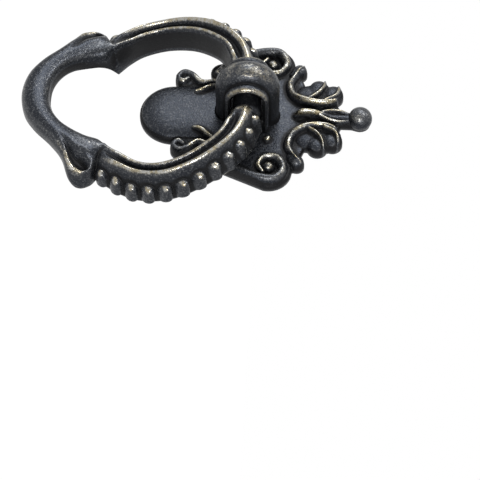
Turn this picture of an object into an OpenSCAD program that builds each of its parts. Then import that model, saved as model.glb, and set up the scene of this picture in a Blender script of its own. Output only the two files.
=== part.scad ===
// Drop-ring pull: a cast backplate, an eye with a threaded shank, and a heart-shaped ring that
// swings in the eye. Millimetres. X is across the plate, Z is up the door, and the front faces -Y.
// The origin is where the shank's axis meets the flat back of the plate.

/* [Backplate] */
// Thickness of the flat body of the plate
plate_t = 1.6; // [1.2:0.1:2]
// Radius of the small fillet in the notches of the outline
notch_r = 0.3; // [0.1:0.05:0.5]
// Radius of the round tongue below the eye
tongue_r = 6.1; // [5.4:0.1:6.6]
// Distance from the post axis down to the centre of the tongue's round end
tongue_drop = 13; // [12:0.1:15]
// Rise of the domed tongue above the plate's front
tongue_rise = 0.9; // [0.6:0.1:1.4]

/* [Scrolls] */
// Distance of the eye of each C-scroll from the centre line
scroll_x = 11.3; // [10.5:0.1:12.5]
// Height of the eye of each C-scroll above the post axis
scroll_z = 4.1; // [3.5:0.1:4.8]
// Outer radius of each C-scroll
scroll_r = 4.1; // [3.7:0.1:4.5]
// Half width of the scroll's band where it is widest
band_w = 1; // [0.8:0.05:1.15]
// Rise of the scroll's band above the plate's front
band_rise = 1.5; // [1:0.1:1.8]
// Radius of the round eye inside the C-scroll
eye_r = 0.85; // [0.6:0.05:1]
// Radius of the bud above each C-scroll
bud_r = 1.35; // [1.1:0.05:1.6]
// Radius of the curl at the foot of the plate, beside the tongue
foot_r = 1.85; // [1.6:0.05:2.1]

/* [Leaves and finial] */
// Radius of the round lobes of each acanthus leaf
lobe_r = 1.8; // [1.5:0.05:2]
// Rise of the leaf's rim and veins above the plate's front
leaf_rise = 1.9; // [1.3:0.1:2.3]
// Rise of the crest of the centre spine above the plate's front
spine_rise = 2.2; // [1.5:0.1:2.6]
// Height of the ball finial's centre above the post axis
ball_z = 19.9; // [19:0.1:22]
// Radius of the ball finial
ball_r = 2.15; // [1.8:0.05:2.5]

/* [Eye and post] */
// Outer radius of the barrel in the middle of the eye
barrel_r = 5.6; // [5.2:0.1:6.2]
// Radius of the barrel's rounded band
barrel_round = 2.4; // [2.1:0.1:2.5]
// Distance of the barrel's axis from the back of the plate
barrel_y = 9.7; // [9.4:0.1:11]
// Outer radius of the collar at each end of the barrel
collar_r = 3.8; // [3.65:0.05:4.1]
// Radius of the rounded edge of each collar
collar_round = 0.8; // [0.5:0.05:1]
// Distance of the outer end of each collar from the centre line
collar_x = 3.9; // [3.6:0.1:4.2]
// Outer radius of the post on the back
post_r = 3.4; // [3.1:0.05:3.8]
// Length of the post behind the plate
post_l = 4.8; // [4:0.1:8]
// Radius of the threaded hole, as drilled for its thread
tap_r = 1.65; // [1.4:0.05:2]
// Depth of the threaded hole from the end of the post
tap_depth = 8; // [7:0.1:8.5]
// Size of the bevel at the mouth of the threaded hole
tap_bevel = 0.45; // [0.2:0.05:0.6]
// Size of the bevel around the end of the post
post_bevel = 0.3; // [0.1:0.05:0.5]
// Gap all round between the shank and its hole in the plate
shank_gap = 0.05; // [0.03:0.01:0.1]

/* [Ring] */
// Distance of the ring's hinge axis from the back of the plate
hinge_y = 7.5; // [7.2:0.1:8.5]
// Radius of the pegs that run in the eye
peg_r = 2.4; // [2.1:0.05:2.5]
// Gap at each side between the pegs and the tunnel
peg_gap = 0.5; // [0.4:0.05:0.7]
// Half of the gap between the two pegs inside the eye
peg_half_gap = 0.5; // [0.3:0.1:1]
// Gap between the arms of the ring and the collars of the eye
arm_gap = 0.4; // [0.3:0.05:0.6]
// Half width of the ring over its wall, where it is widest
ring_half_w = 18.9; // [17.5:0.1:20]
// Distance from the hinge axis down to the outside of the grip
ring_drop = 39.8; // [38:0.1:43]
// Width of the bar of the grip
grip_w = 5.2; // [4.6:0.1:5.6]
// Thickness of the bar of the grip
grip_t = 3.6; // [3:0.1:4]
// Width of the arms across the lobe, without the beads
arm_w = 4.6; // [4:0.1:5]
// Distance of the ring's flat back from its hinge plane
back_off = 3; // [2.7:0.1:3.2]
// Distance of the main ridge on the ring's front from its hinge plane
ridge_off = 3.1; // [2.8:0.1:3.4]
// How far the lobes of the ring lean back from the hinge towards the door
lobe_dip = 4.3; // [3:0.1:4.4]
// How far the grip comes forward again from the lobes
grip_lift = 0.8; // [0.4:0.1:3]

/* [Beads and pockets] */
// Number of beads along each side of the ring
bead_count = 12; // [10:1:13]
// Radius of one bead
bead_r = 1.15; // [0.9:0.05:1.25]
// Distance of the beads' tops from the hinge plane, towards the front
bead_top = 0.9; // [0.4:0.1:1.5]
// Depth of the hollow in the back of each arm
pocket_depth = 2.5; // [1.5:0.1:3]
// Radius of the round recess in the back of each arm
recess_r = 1.85; // [1.4:0.05:2]
// Depth of the round recess in the back of each arm
recess_depth = 0.8; // [0.4:0.1:1.2]

/* [Hidden] */
finish = [0.23, 0.23, 0.25];
eps = 0.01;
over = 1;

smooth_steps = 3;
sides = 8;
round_fn = 20;
bead_fn = 10;
turned_fn = 96;

// Each node is drawn facing up, with Y up the door, and is then stood up so that its front faces -Y.
module stand() { rotate([90, 0, 0]) children(); }

module both_sides() {
    children();
    mirror([1, 0, 0]) children();
}

// A point a share t of the way from a to b.
function mix(a, b, t) = a + (b - a) * t;
function clamp01(t) = max(0, min(1, t));
function ease(t) = clamp01(t) * clamp01(t) * (3 - 2 * clamp01(t));

// One point of the smooth curve through b and c, with a and d as its neighbours.
function curve_point(a, b, c, d, t) =
    0.5 * (2 * b + (c - a) * t + (2 * a - 5 * b + 4 * c - d) * t * t
        + (3 * b - a - 3 * c + d) * t * t * t);

// A smooth curve through all the knots, with a number of steps between each two.
function smooth(knots, steps) =
    let (last = len(knots) - 1)
    concat(
        [for (i = [0 : last - 1], s = [0 : steps - 1])
            let (a = i == 0 ? 2 * knots[0] - knots[1] : knots[i - 1],
                d = i == last - 1 ? 2 * knots[last] - knots[last - 1] : knots[i + 2])
            curve_point(a, knots[i], knots[i + 1], d, s / steps)],
        [knots[last]]);

// Side faces between neighbouring rings of n points each, with both ends closed.
function skin_faces(rings, n) =
    concat(
        [[for (j = [0 : n - 1]) j]],
        [for (i = [0 : rings - 2], j = [0 : n - 1])
            let (a = i * n + j, b = i * n + (j + 1) % n)
            [a, a + n, b]],
        [for (i = [0 : rings - 2], j = [0 : n - 1])
            let (a = i * n + j, b = i * n + (j + 1) % n)
            [b, a + n, b + n]],
        [[for (j = [n - 1 : -1 : 0]) (rings - 1) * n + j]]);

// A raised ridge along a path on the plate. Each knot holds x, y, the height of the ridge's core,
// its half width and its half height.
module ridge(knots) {
    path = smooth(knots, smooth_steps);
    last = len(path) - 1;
    points = [for (i = [0 : last])
        let (p = path[i],
            ahead = path[min(i + 1, last)] - path[max(i - 1, 0)],
            len_xy = norm([ahead[0], ahead[1]]),
            side = [-ahead[1], ahead[0], 0] / len_xy)
        for (j = [0 : sides - 1])
            let (a = 360 * j / sides)
            [p[0], p[1], p[2]] + side * p[3] * cos(a) + [0, 0, 1] * p[4] * sin(a)];
    polyhedron(points, skin_faces(last + 1, sides), convexity = 8);
}

// Outline of the plate's ornaments on the right-hand side.
scroll_tail = [scroll_x - 1.7, scroll_z - 9.1];
tail_r = 2;
bud_at = [scroll_x - 1.2, scroll_z + scroll_r + 0.8];
leaf_low = [6.2, 12.5];
leaf_high = [5.1, 15.1];
foot_at = [tongue_r + 1.5, -tongue_drop + 1.6];
neck_half_w = 1.5;
waist = [tongue_r + 1.2, -8.2];

module tongue_outline() {
    hull() {
        translate([0, -tongue_drop]) circle(r = tongue_r, $fn = 2 * round_fn);
        translate([0, waist[1]]) circle(r = tongue_r, $fn = 2 * round_fn);
    }
}

module wing_outline() {
    polygon([[0, waist[1]], waist, [scroll_tail[0], scroll_tail[1] + 1], [scroll_x, scroll_z],
        bud_at, [6.9, 10.2], leaf_low, leaf_high, [neck_half_w, 16.6], [neck_half_w, ball_z],
        [0, ball_z]]);
    hull() {
        translate([scroll_x, scroll_z]) circle(r = scroll_r, $fn = round_fn);
        translate(scroll_tail) circle(r = tail_r, $fn = round_fn);
    }
    translate(bud_at) circle(r = bud_r, $fn = round_fn);
    translate(leaf_low) circle(r = lobe_r, $fn = round_fn);
    translate(leaf_high) circle(r = lobe_r, $fn = round_fn);
    hull() {
        translate(foot_at) circle(r = foot_r, $fn = round_fn);
        translate([foot_at[0] - foot_r, waist[1]]) circle(r = foot_r, $fn = round_fn);
    }
}

module plate_outline() {
    offset(r = -notch_r, $fn = round_fn) offset(r = notch_r, $fn = round_fn) {
        tongue_outline();
        both_sides() wing_outline();
        translate([0, ball_z]) circle(r = ball_r - 0.3, $fn = round_fn);
    }
}

// The band of a C-scroll runs up from its tail, round the outside and in to its eye.
module c_scroll() {
    turn = [for (k = [0 : 6])
        let (share = k / 6,
            a = mix(-35, 320, share),
            r = mix(scroll_r - band_w, 1.55, share),
            w = mix(band_w, 0.45, share),
            h = mix(band_rise, 0.9, share))
        [scroll_x + r * cos(a), scroll_z + r * sin(a), plate_t, w, h]];
    tail = [[scroll_tail[0] - 0.4, scroll_tail[1] - 0.6, plate_t, 0.7, 0.8],
        [scroll_tail[0] + 1, scroll_tail[1] + 1.2, plate_t, band_w, band_rise],
        [scroll_x + 1.4, scroll_z - scroll_r - 0.8, plate_t, band_w, band_rise]];
    ridge(concat(tail, turn));
    translate([scroll_x, scroll_z, plate_t]) sphere(r = eye_r, $fn = bead_fn);
}

// A bud is a round knob that leans on the scroll.
module bud() {
    hull() {
        translate([bud_at[0], bud_at[1], plate_t]) sphere(r = bud_r - 0.1, $fn = 16);
        translate([bud_at[0] - 1, bud_at[1] - 1, plate_t]) sphere(r = bud_r - 0.5, $fn = bead_fn);
    }
}

// One lobe of the acanthus leaf: a scooped pad that falls away from its vein.
module leaf_lobe(at) {
    hull() {
        translate([at[0], at[1], plate_t - eps]) cylinder(r = lobe_r - 0.15, h = 0.6, $fn = 16);
        translate([at[0] - 0.4, at[1] + 0.4, plate_t]) cylinder(r = lobe_r - 0.9, h = 1, $fn = bead_fn);
    }
}

module acanthus() {
    rim_h = leaf_rise;
    ridge([[bud_at[0] - 1, bud_at[1] - 0.4, plate_t, 0.6, 1], [7, 7.4, plate_t, 0.75, 1.2],
        [4.6, 7.9, plate_t, 0.8, 1.4], [3.1, 9.8, plate_t, 0.8, rim_h], [2.5, 12.6, plate_t, 0.75, rim_h],
        [2.9, 15, plate_t, 0.6, rim_h - 0.2], [4.1, 16.3, plate_t, 0.45, 1]]);
    ridge([[3.1, 10.6, plate_t, 0.5, rim_h - 0.2], [4.5, 12.4, plate_t, 0.45, rim_h],
        [6, 13.3, plate_t, 0.4, rim_h - 0.3], [leaf_low[0] + 1.5, leaf_low[1] + 1.1, plate_t, 0.3, 0.9]]);
    ridge([[2.9, 13.6, plate_t, 0.5, rim_h - 0.1], [3.9, 15.4, plate_t, 0.45, rim_h],
        [5.4, 16, plate_t, 0.4, rim_h - 0.4], [leaf_high[0] + 1.6, leaf_high[1] + 0.9, plate_t, 0.3, 0.8]]);
    leaf_lobe(leaf_low);
    leaf_lobe(leaf_high);
}

// The small leaf beside the tongue ends in a curl, with a second ridge beside the eye's foot.
module foot_leaf() {
    hull() {
        translate([foot_at[0], foot_at[1], plate_t - eps]) cylinder(r = foot_r - 0.3, h = 0.5, $fn = 16);
        translate([foot_at[0], foot_at[1], plate_t]) cylinder(r = 0.6, h = 0.9, $fn = bead_fn);
    }
    ridge([[foot_at[0] - 0.3, foot_at[1] + 0.5, plate_t, 0.5, 1.1],
        [foot_at[0] - 0.9, foot_at[1] - 0.4, plate_t, 0.55, 1.2],
        [foot_at[0] - 0.1, foot_at[1] - 1.2, plate_t, 0.55, 1.2],
        [foot_at[0] + 1, foot_at[1] - 0.3, plate_t, 0.6, 1.3],
        [foot_at[0] + 0.5, foot_at[1] + 1.2, plate_t, 0.6, 1.3],
        [waist[0] - 0.7, waist[1] - 0.2, plate_t, 0.6, 1.2],
        [waist[0] - 0.2, waist[1] + 2.2, plate_t, 0.5, 0.8]]);
    ridge([[4, -9.3, plate_t, 0.4, 1.6], [4.3, -8.2, plate_t, 0.6, 1.9], [5.2, -6.8, plate_t, 0.6, 1.7],
        [6.2, -5.2, plate_t, 0.4, 0.9]]);
}

// The spine's crest is tall by the eye and runs down into a V-shaped leaf on the neck.
module spine() {
    ridge([[0, 8.4, plate_t, 0.35, 0.8], [0, 9.4, plate_t, 0.7, spine_rise],
        [0, 11.6, plate_t, 0.6, spine_rise], [0, 13.2, plate_t, 0.6, spine_rise - 0.7],
        [0, 15.4, plate_t, 0.7, 0.6], [0, ball_z - 1, plate_t, 0.9, 0.5]]);
    both_sides()
        ridge([[0.3, 12.8, plate_t, 0.35, 1.4], [1, 14.4, plate_t, 0.4, 1.2], [1.35, 16.2, plate_t, 0.4, 1],
            [1, ball_z - 1.8, plate_t, 0.45, 0.9]]);
    translate([0, ball_z, plate_t]) sphere(r = ball_r, $fn = 24);
}

module tongue_dome() {
    hull() {
        for (y = [-tongue_drop, waist[1] + 3])
            translate([0, y, plate_t - 0.2])
                scale([1, 1, (tongue_rise + 0.2) / (tongue_r - 0.4)])
                    sphere(r = tongue_r - 0.4, $fn = round_fn);
    }
}

// What stands below the plate's back is trimmed flat, and the shank's hole is drilled.
module backplate() {
    color(finish) stand()
        difference() {
            union() {
                linear_extrude(plate_t) plate_outline();
                tongue_dome();
                both_sides() {
                    c_scroll();
                    bud();
                    acanthus();
                    foot_leaf();
                }
                spine();
            }
            translate([-2 * scroll_x, -2 * ball_z, -2 * ball_r])
                cube([4 * scroll_x, 4 * ball_z, 2 * ball_r]);
            translate([0, 0, -over])
                cylinder(r = post_r + shank_gap, h = plate_t + tongue_rise + spine_rise + 2 * over,
                    $fn = turned_fn);
            // The eye's foot stands on a flat spot.
            translate([-seat_x, -seat_y, plate_t]) cube([2 * seat_x, 2 * seat_y, 2 * spine_rise]);
        }
}

// Half section of the eye along the hinge: a rounded barrel between two collars.
tunnel_r = peg_r + peg_gap;
core_r = tunnel_r + 0.5;
tunnel_floor = hinge_y - peg_r - 0.4;
seat_x = collar_x + 0.05;
seat_y = barrel_r + 0.05;

module eye_section() {
    collar_at = [collar_r - collar_round, collar_x - collar_round];
    translate([-core_r, -collar_at[1]]) square([2 * core_r, 2 * collar_at[1]]);
    translate([-collar_at[0], -collar_x]) square([2 * collar_at[0], 2 * collar_x]);
    for (side = [-1, 1]) {
        translate([side * (barrel_r - barrel_round), 0]) circle(r = barrel_round, $fn = turned_fn);
        for (end = [-1, 1])
            translate([side * collar_at[0], end * collar_at[1]])
                circle(r = collar_round, $fn = turned_fn);
    }
}

module eye_post() {
    color(finish) stand()
        difference() {
            union() {
                // The arch is turned about the hinge line, and its legs run down to the plate.
                translate([0, 0, barrel_y]) rotate([0, 90, 0]) rotate([0, 0, 90])
                    rotate_extrude(angle = 180, $fn = turned_fn)
                        intersection() {
                            eye_section();
                            translate([0, -2 * barrel_r]) square([2 * barrel_r, 4 * barrel_r]);
                        }
                translate([0, 0, plate_t]) linear_extrude(barrel_y - plate_t)
                    rotate(90) eye_section();
                translate([0, 0, -post_l]) cylinder(r = post_r, h = post_l + plate_t + eps, $fn = turned_fn);
            }
            // The tunnel is an arch with a flat floor.
            translate([-2 * barrel_r, 0, barrel_y]) rotate([0, 90, 0])
                cylinder(r = tunnel_r, h = 4 * barrel_r, $fn = turned_fn);
            translate([-2 * barrel_r, -tunnel_r, tunnel_floor])
                cube([4 * barrel_r, 2 * tunnel_r, barrel_y - tunnel_floor]);
            // Threaded hole, as drilled, with its bevel and the bevel of the post.
            translate([0, 0, -post_l - over]) cylinder(r = tap_r, h = tap_depth + over, $fn = turned_fn);
            translate([0, 0, -post_l - eps])
                cylinder(r1 = tap_r + tap_bevel + eps, r2 = tap_r, h = tap_bevel + eps, $fn = turned_fn);
            translate([0, 0, -post_l - eps])
                difference() {
                    cylinder(r = post_r + over, h = post_bevel + eps, $fn = turned_fn);
                    cylinder(r1 = post_r - post_bevel - eps, r2 = post_r, h = post_bevel + eps,
                        $fn = turned_fn);
                }
        }
}

// The ring is a row of sections from the right arm's end, round the grip, to the left arm's end.
// Each station has a point on the inside and one on the outside of the ring.
arm_x = collar_x + arm_gap;
lobe_in = ring_half_w - arm_w;
upper_in = [[arm_x, -3], [arm_x + 2.2, -3.5], [9.4, -4.8], [11.6, -7.2], [lobe_in - 0.9, -10.3],
    [lobe_in, -13.8], [lobe_in - 0.1, -16.7], [lobe_in - 1.1, -19.4], [lobe_in - 2.9, -21.6],
    [lobe_in - 5.2, -23.6]];
upper_out = [[arm_x, 2.7], [arm_x + 2.5, 2.3], [10.8, 0.7], [14.3, -2.3], [ring_half_w - 1.8, -6.4],
    [ring_half_w - 0.2, -10.9], [ring_half_w, -15.1], [ring_half_w - 0.8, -19.4],
    [ring_half_w - 2.4, -22.7], [ring_half_w - 4.4, -25.7]];
grip_in = -ring_drop + grip_w;
lower_in = [[lobe_in - 5.2, -23.6], [8.8, -25.1], [8.45, -26.6], [8, -28.3], [7.3, -30.3],
    [6.1, -32.2], [4.3, grip_in + 1], [2.2, grip_in + 0.2], [0, grip_in]];
lower_out = [[ring_half_w - 4.4, -25.7], [ring_half_w - 3.1, -26.7], [ring_half_w - 2.4, -28.4],
    [ring_half_w - 3.3, -30.3], [12.7, -31.7], [9.9, -34], [7.1, 2.9 - ring_drop],
    [4, 0.8 - ring_drop], [0, -ring_drop]];
upper_n = len(upper_in) - 1;
lower_n = len(lower_in) - 1;
stations_n = upper_n + lower_n;
step_fine = 3;

// Share of the way across the arm and distance from the hinge plane, from the inner back edge,
// up the inner wall, over the inner ridge, the groove and the main ridge, and down to the back.
lobe_form = [[0, -back_off], [0.02, 0], [0.05, 2.2], [0.1, 2.7], [0.17, 2.9], [0.25, 2.7], [0.33, 2],
    [0.43, 2.4], [0.51, ridge_off - 0.15], [0.59, ridge_off], [0.68, ridge_off - 0.35], [0.82, 1.8],
    [1, 0.4], [1, -1.3], [1, -back_off], [0.5, -back_off]];
waist_form = [[0, -back_off], [0.04, 0], [0.13, 1.7], [0.22, 2.6], [0.3, 3], [0.38, ridge_off], [0.46, 2.9],
    [0.53, 2.2], [0.6, 1.8], [0.67, 2.2], [0.74, 2.3], [0.86, 1.6], [0.97, 0.7], [1, -1], [1, -back_off],
    [0.5, -back_off]];
// The arm's end is a hood, where both ridges run together over the end of the groove.
tip_form = [[0.02, -back_off], [0.03, -0.6], [0.09, 1.1], [0.17, 2], [0.26, 2.5], [0.36, 2.8], [0.46, 2.9],
    [0.54, 2.9], [0.62, 2.8], [0.7, 2.5], [0.79, 2], [0.9, 1], [0.98, -0.4], [1, -1.6], [0.99, -back_off],
    [0.5, -back_off]];
grip_back = ridge_off + 0.3 - grip_t;
grip_form = [[0.03, grip_back], [0, 0.9], [0.02, 1.9], [0.08, 2.5], [0.16, 2.95], [0.25, 3.15],
    [0.34, 3.3], [0.43, 3.38], [0.53, 3.4], [0.63, 3.36], [0.74, 3.2], [0.85, 2.85], [0.94, 2.2],
    [1, 1.2], [0.97, grip_back], [0.5, grip_back]];
form_n = len(lobe_form);

// The section at station k: how far it has turned from the lobe to the waist and on to the grip.
function form_at(k) =
    let (to_lobe = ease(k / 1.3),
        to_waist = ease((k - upper_n + 1) / 1.6),
        to_grip = ease((k - upper_n - 2.2) / 2.2))
    [for (j = [form_n - 1 : -1 : 0])
        mix(mix(mix(tip_form[j], lobe_form[j], to_lobe), waist_form[j], to_waist), grip_form[j], to_grip)];

// The back steps up from the lobe to the grip along a slanting edge, in a hollow curve.
function back_at(k, t) =
    let (run = clamp01((k - upper_n - 2.4 * t) / 2.6))
    mix(-back_off, grip_back, 1 - (1 - run) * (1 - run));

// Seen from the side the ring is bowed: the arms lean back, and the grip comes forward again.
function bow(y) = lobe_dip * ease((-y - 0.5) / 19) - grip_lift * ease((-y - 26) / 10);

function lean(y) = bow(y - 0.5) - bow(y + 0.5);

function station_in(k) = k <= upper_n ? lookup_curve(upper_in, k) : lookup_curve(lower_in, k - upper_n);
function station_out(k) = k <= upper_n ? lookup_curve(upper_out, k) : lookup_curve(lower_out, k - upper_n);
function lookup_curve(knots, k) =
    let (last = len(knots) - 1,
        i = min(floor(k), last - 1),
        a = i == 0 ? 2 * knots[0] - knots[1] : knots[i - 1],
        d = i == last - 1 ? (knots[last][0] == 0
                ? [-knots[last - 1][0], knots[last - 1][1]] : 2 * knots[last] - knots[last - 1])
            : knots[i + 2])
    curve_point(a, knots[i], knots[i + 1], d, k - i);

// The outline of one section, as points in space.
function section(k, form) =
    let (inner = station_in(k), outer = station_out(k))
    [for (q = form)
        let (p = mix(inner, outer, q[0]), w = max(q[1], back_at(k, q[0])))
        [p[0], p[1], hinge_y + w - bow(p[1])]];

function half_stations(from, to, fine) = [for (s = [0 : round((to - from) * fine)]) from + s / fine];
function mirrored(points) = [for (p = points) [-p[0], p[1], p[2]]];

module ring_body() {
    ks = half_stations(0, stations_n, step_fine);
    last = len(ks) - 1;
    right = [for (k = ks) section(k, form_at(k))];
    left = [for (i = [last - 1 : -1 : 0]) mirrored(right[i])];
    all = concat(right, left);
    polyhedron([for (ring = all) for (p = ring) p], skin_faces(len(all), form_n), convexity = 10);
}

// Arc-shaped hollow in the back of an arm, with a floor that is raised along its middle.
pocket_from = 2.1;
pocket_to = 4.9;
pocket_form = [[0.8, -back_off - over], [0.8, pocket_depth - back_off - 0.3],
    [0.65, pocket_depth - back_off], [0.5, pocket_depth - back_off + 0.1], [0.35, pocket_depth - back_off],
    [0.2, pocket_depth - back_off - 0.3], [0.2, -back_off - over]];

module pocket() {
    ks = half_stations(pocket_from, pocket_to, 5);
    points = [for (k = ks)
        let (inner = station_in(k), outer = station_out(k))
        for (q = pocket_form)
            let (p = mix(inner, outer, q[0]))
            [p[0], p[1], hinge_y + q[1] - bow(p[1])]];
    polyhedron(points, skin_faces(len(ks), len(pocket_form)), convexity = 4);
}

// Stations of the beads, spread evenly along the outer wall of the arm.
wall_ks = half_stations(0.75, upper_n - 0.35, 8);
wall_points = [for (k = wall_ks) station_out(k)];
function wall_length(i) = i == 0 ? 0 : wall_length(i - 1) + norm(wall_points[i] - wall_points[i - 1]);
wall_table = [for (i = [0 : len(wall_ks) - 1]) [wall_length(i), wall_ks[i]]];
wall_total = wall_table[len(wall_table) - 1][0];

bead_base = back_off - 0.7;

module bead(k) {
    inner = station_in(k);
    outer = station_out(k);
    at = outer - (outer - inner) / norm(outer - inner) * 0.2;
    // Each bead stands square to the bowed ring, as a rounded peg against its wall.
    translate([at[0], at[1], hinge_y - bow(at[1])]) rotate([atan(lean(at[1])), 0, 0])
        hull() {
            translate([0, 0, -bead_base]) cylinder(r = bead_r, h = 1, $fn = bead_fn);
            translate([0, 0, bead_top - bead_r]) sphere(r = bead_r, $fn = bead_fn);
        }
}

recess_k = 6.35;

module ring() {
    color(finish) stand()
        difference() {
            union() {
                difference() {
                    union() {
                        ring_body();
                        both_sides() {
                            for (i = [0 : bead_count - 1])
                                bead(lookup(wall_total * i / (bead_count - 1), wall_table));
                            // Stock for the peg, turned true below.
                            translate([peg_half_gap, 0, hinge_y]) rotate([0, 90, 0])
                                cylinder(r = peg_r + 0.2, h = arm_x + 1 - peg_half_gap, $fn = 24);
                        }
                    }
                    both_sides() pocket();
                }
            }
            both_sides() {
                translate([peg_half_gap - over, 0, hinge_y]) rotate([0, 90, 0])
                    difference() {
                        cylinder(r = peg_r + over, h = arm_x - peg_half_gap + over, $fn = turned_fn);
                        translate([0, 0, -over])
                            cylinder(r = peg_r, h = arm_x + 3 * over, $fn = turned_fn);
                    }
                recess_at = mix(station_in(recess_k), station_out(recess_k), 0.5);
                translate([recess_at[0], recess_at[1], hinge_y - bow(recess_at[1]) - back_off - over])
                    cylinder(r = recess_r, h = recess_depth + over, $fn = turned_fn);
            }
        }
}

backplate();
eye_post();
ring();
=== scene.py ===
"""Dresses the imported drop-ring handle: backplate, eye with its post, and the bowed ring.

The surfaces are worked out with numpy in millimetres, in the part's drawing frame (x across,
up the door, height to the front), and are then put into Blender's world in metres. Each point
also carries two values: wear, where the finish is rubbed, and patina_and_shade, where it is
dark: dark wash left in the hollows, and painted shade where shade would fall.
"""

import logging
from dataclasses import dataclass, field
from enum import Enum

import bpy
import numpy as np
from mathutils import Matrix, Vector


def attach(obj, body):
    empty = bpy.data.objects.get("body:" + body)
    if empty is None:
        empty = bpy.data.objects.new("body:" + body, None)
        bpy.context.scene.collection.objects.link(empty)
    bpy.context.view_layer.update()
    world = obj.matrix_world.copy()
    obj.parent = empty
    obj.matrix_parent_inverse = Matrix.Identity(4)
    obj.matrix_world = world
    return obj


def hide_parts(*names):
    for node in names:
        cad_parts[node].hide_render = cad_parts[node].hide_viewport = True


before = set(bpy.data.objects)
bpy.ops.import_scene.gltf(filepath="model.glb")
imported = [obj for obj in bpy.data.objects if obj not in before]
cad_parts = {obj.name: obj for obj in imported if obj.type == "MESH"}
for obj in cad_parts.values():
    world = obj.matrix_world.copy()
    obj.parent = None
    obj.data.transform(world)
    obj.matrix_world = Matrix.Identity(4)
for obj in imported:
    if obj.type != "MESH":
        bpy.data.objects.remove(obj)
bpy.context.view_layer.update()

MM = 0.001
LOG = logging.getLogger("ring_handle")
Array = np.ndarray
Colour = tuple[float, float, float]
NO_TRIS = np.zeros((0, 3), int)
SECTION_STEPS = 4  # points from one knot of the ring's section to the next
ROUND_SIDES = 72  # sides of the pegs and the ball


# ---------------------------------------------------------------- shared shape helpers

def ease(t: Array) -> Array:
    """A soft step from 0 to 1: t squared times (3 - 2t), with t held between 0 and 1."""
    t = np.clip(t, 0.0, 1.0)
    return t * t * (3.0 - 2.0 * t)


def fade(x: Array, start: float | Array, run: float) -> Array:
    """The soft step of (x - start) / run, which goes down where run is below zero."""
    return ease((x - start) / run)


def bell(x: Array, middle: float | Array, half: float | Array) -> Array:
    """A bell that is 1 at its middle: e to the power of -((x - middle) / half) squared."""
    return np.exp(-((x - middle) / half) ** 2)


def quarter(t: Array) -> Array:
    """The rise of a quarter circle: the root of 1 - (1 - t)^2, with t held between 0 and 1."""
    return np.sqrt(np.clip(1 - (1 - np.clip(t, 0, 1)) ** 2, 0, 1))


def mix(a: Array, b: Array, t: Array) -> Array:
    """The point a share t of the way from a to b."""
    return a + (b - a) * t


def soft_max(a: Array, b: Array, k: float) -> Array:
    """The larger of a and b, with a round fillet of about k where they meet."""
    h = np.clip(0.5 + 0.5 * (a - b) / k, 0.0, 1.0)
    return mix(b, a, h) + k * h * (1.0 - h)


def soft_min(a: Array, b: Array, k: float) -> Array:
    """The smaller of a and b, with a round fillet of about k where they meet."""
    return -soft_max(-a, -b, k)


def mirrored(values: Array, sign: float = 1.0) -> Array:
    """Rows for x below zero, which are the other rows times sign, put before those from x = 0."""
    return np.concatenate([sign * values[:0:-1], values])


def there_and_back(rows: Array) -> Array:
    """The rows of the ring's right half, then the same rows back up its left half."""
    return np.concatenate([rows, rows[-2::-1]])


def spline(a: Array, b: Array, c: Array, d: Array, t: Array) -> Array:
    """From b to c: half of 2b + (c - a)t + (2a - 5b + 4c - d)t^2 + (3b - a - 3c + d)t^3."""
    return 0.5 * (2 * b + (c - a) * t + (2 * a - 5 * b + 4 * c - d) * t ** 2
                  + (3 * b - a - 3 * c + d) * t ** 3)


def curve(knots: Array, k: Array, mirror_end: bool = False) -> Array:
    """Points of the smooth curve through all knots, each from its two knots and their neighbours.

    Args:
        knots: One row for each knot.
        k: Where along the knots each point lies, 0 at the first knot.
        mirror_end: Whether the curve carries on past its last knot as its own mirror image.

    Returns:
        One row for each value of k.
    """
    last = len(knots) - 1
    after = knots[last - 1] * np.array([-1.0, 1.0]) if mirror_end else 2 * knots[last] - knots[last - 1]
    padded = np.vstack([2 * knots[0] - knots[1], knots, after])
    i = np.clip(np.floor(k).astype(int), 0, last - 1)
    return spline(padded[i], padded[i + 1], padded[i + 2], padded[i + 3], (k - i)[:, None])


def closed_curve(knots: Array, steps: int) -> Array:
    """The closed smooth curve through each list of knots.

    Args:
        knots: Lists of knots, of shape (..., count, 2).
        steps: Points made for each knot.

    Returns:
        The points, of shape (..., count * steps, 2).
    """
    t = (np.arange(steps) / steps)[:, None]
    a, b, c, d = (np.roll(knots, s, axis=-2)[..., None, :] for s in (1, 0, -1, -2))
    return spline(a, b, c, d, t).reshape(*knots.shape[:-2], knots.shape[-2] * steps, 2)


def blur(values: Array, spread: float, axis: int, wrap: bool) -> Array:
    """Values averaged along one axis of a grid with bell-shaped weights.

    Args:
        values: The grid.
        spread: Width of the bell, in grid steps.
        axis: The axis to average along.
        wrap: Whether the grid closes on itself along that axis.

    Returns:
        The averaged grid, of the same shape.
    """
    reach = max(1, int(np.ceil(2.5 * spread)))
    taps = np.arange(-reach, reach + 1)
    weights = np.exp(-0.5 * (taps / spread) ** 2)
    weights /= weights.sum()
    pad = [(0, 0)] * values.ndim
    pad[axis] = (reach, reach)
    padded = np.pad(values, pad, mode="wrap" if wrap else "edge")
    n = values.shape[axis]
    return sum(w * np.take(padded, np.arange(reach + t, reach + t + n), axis=axis)
               for w, t in zip(weights, taps))


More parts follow.
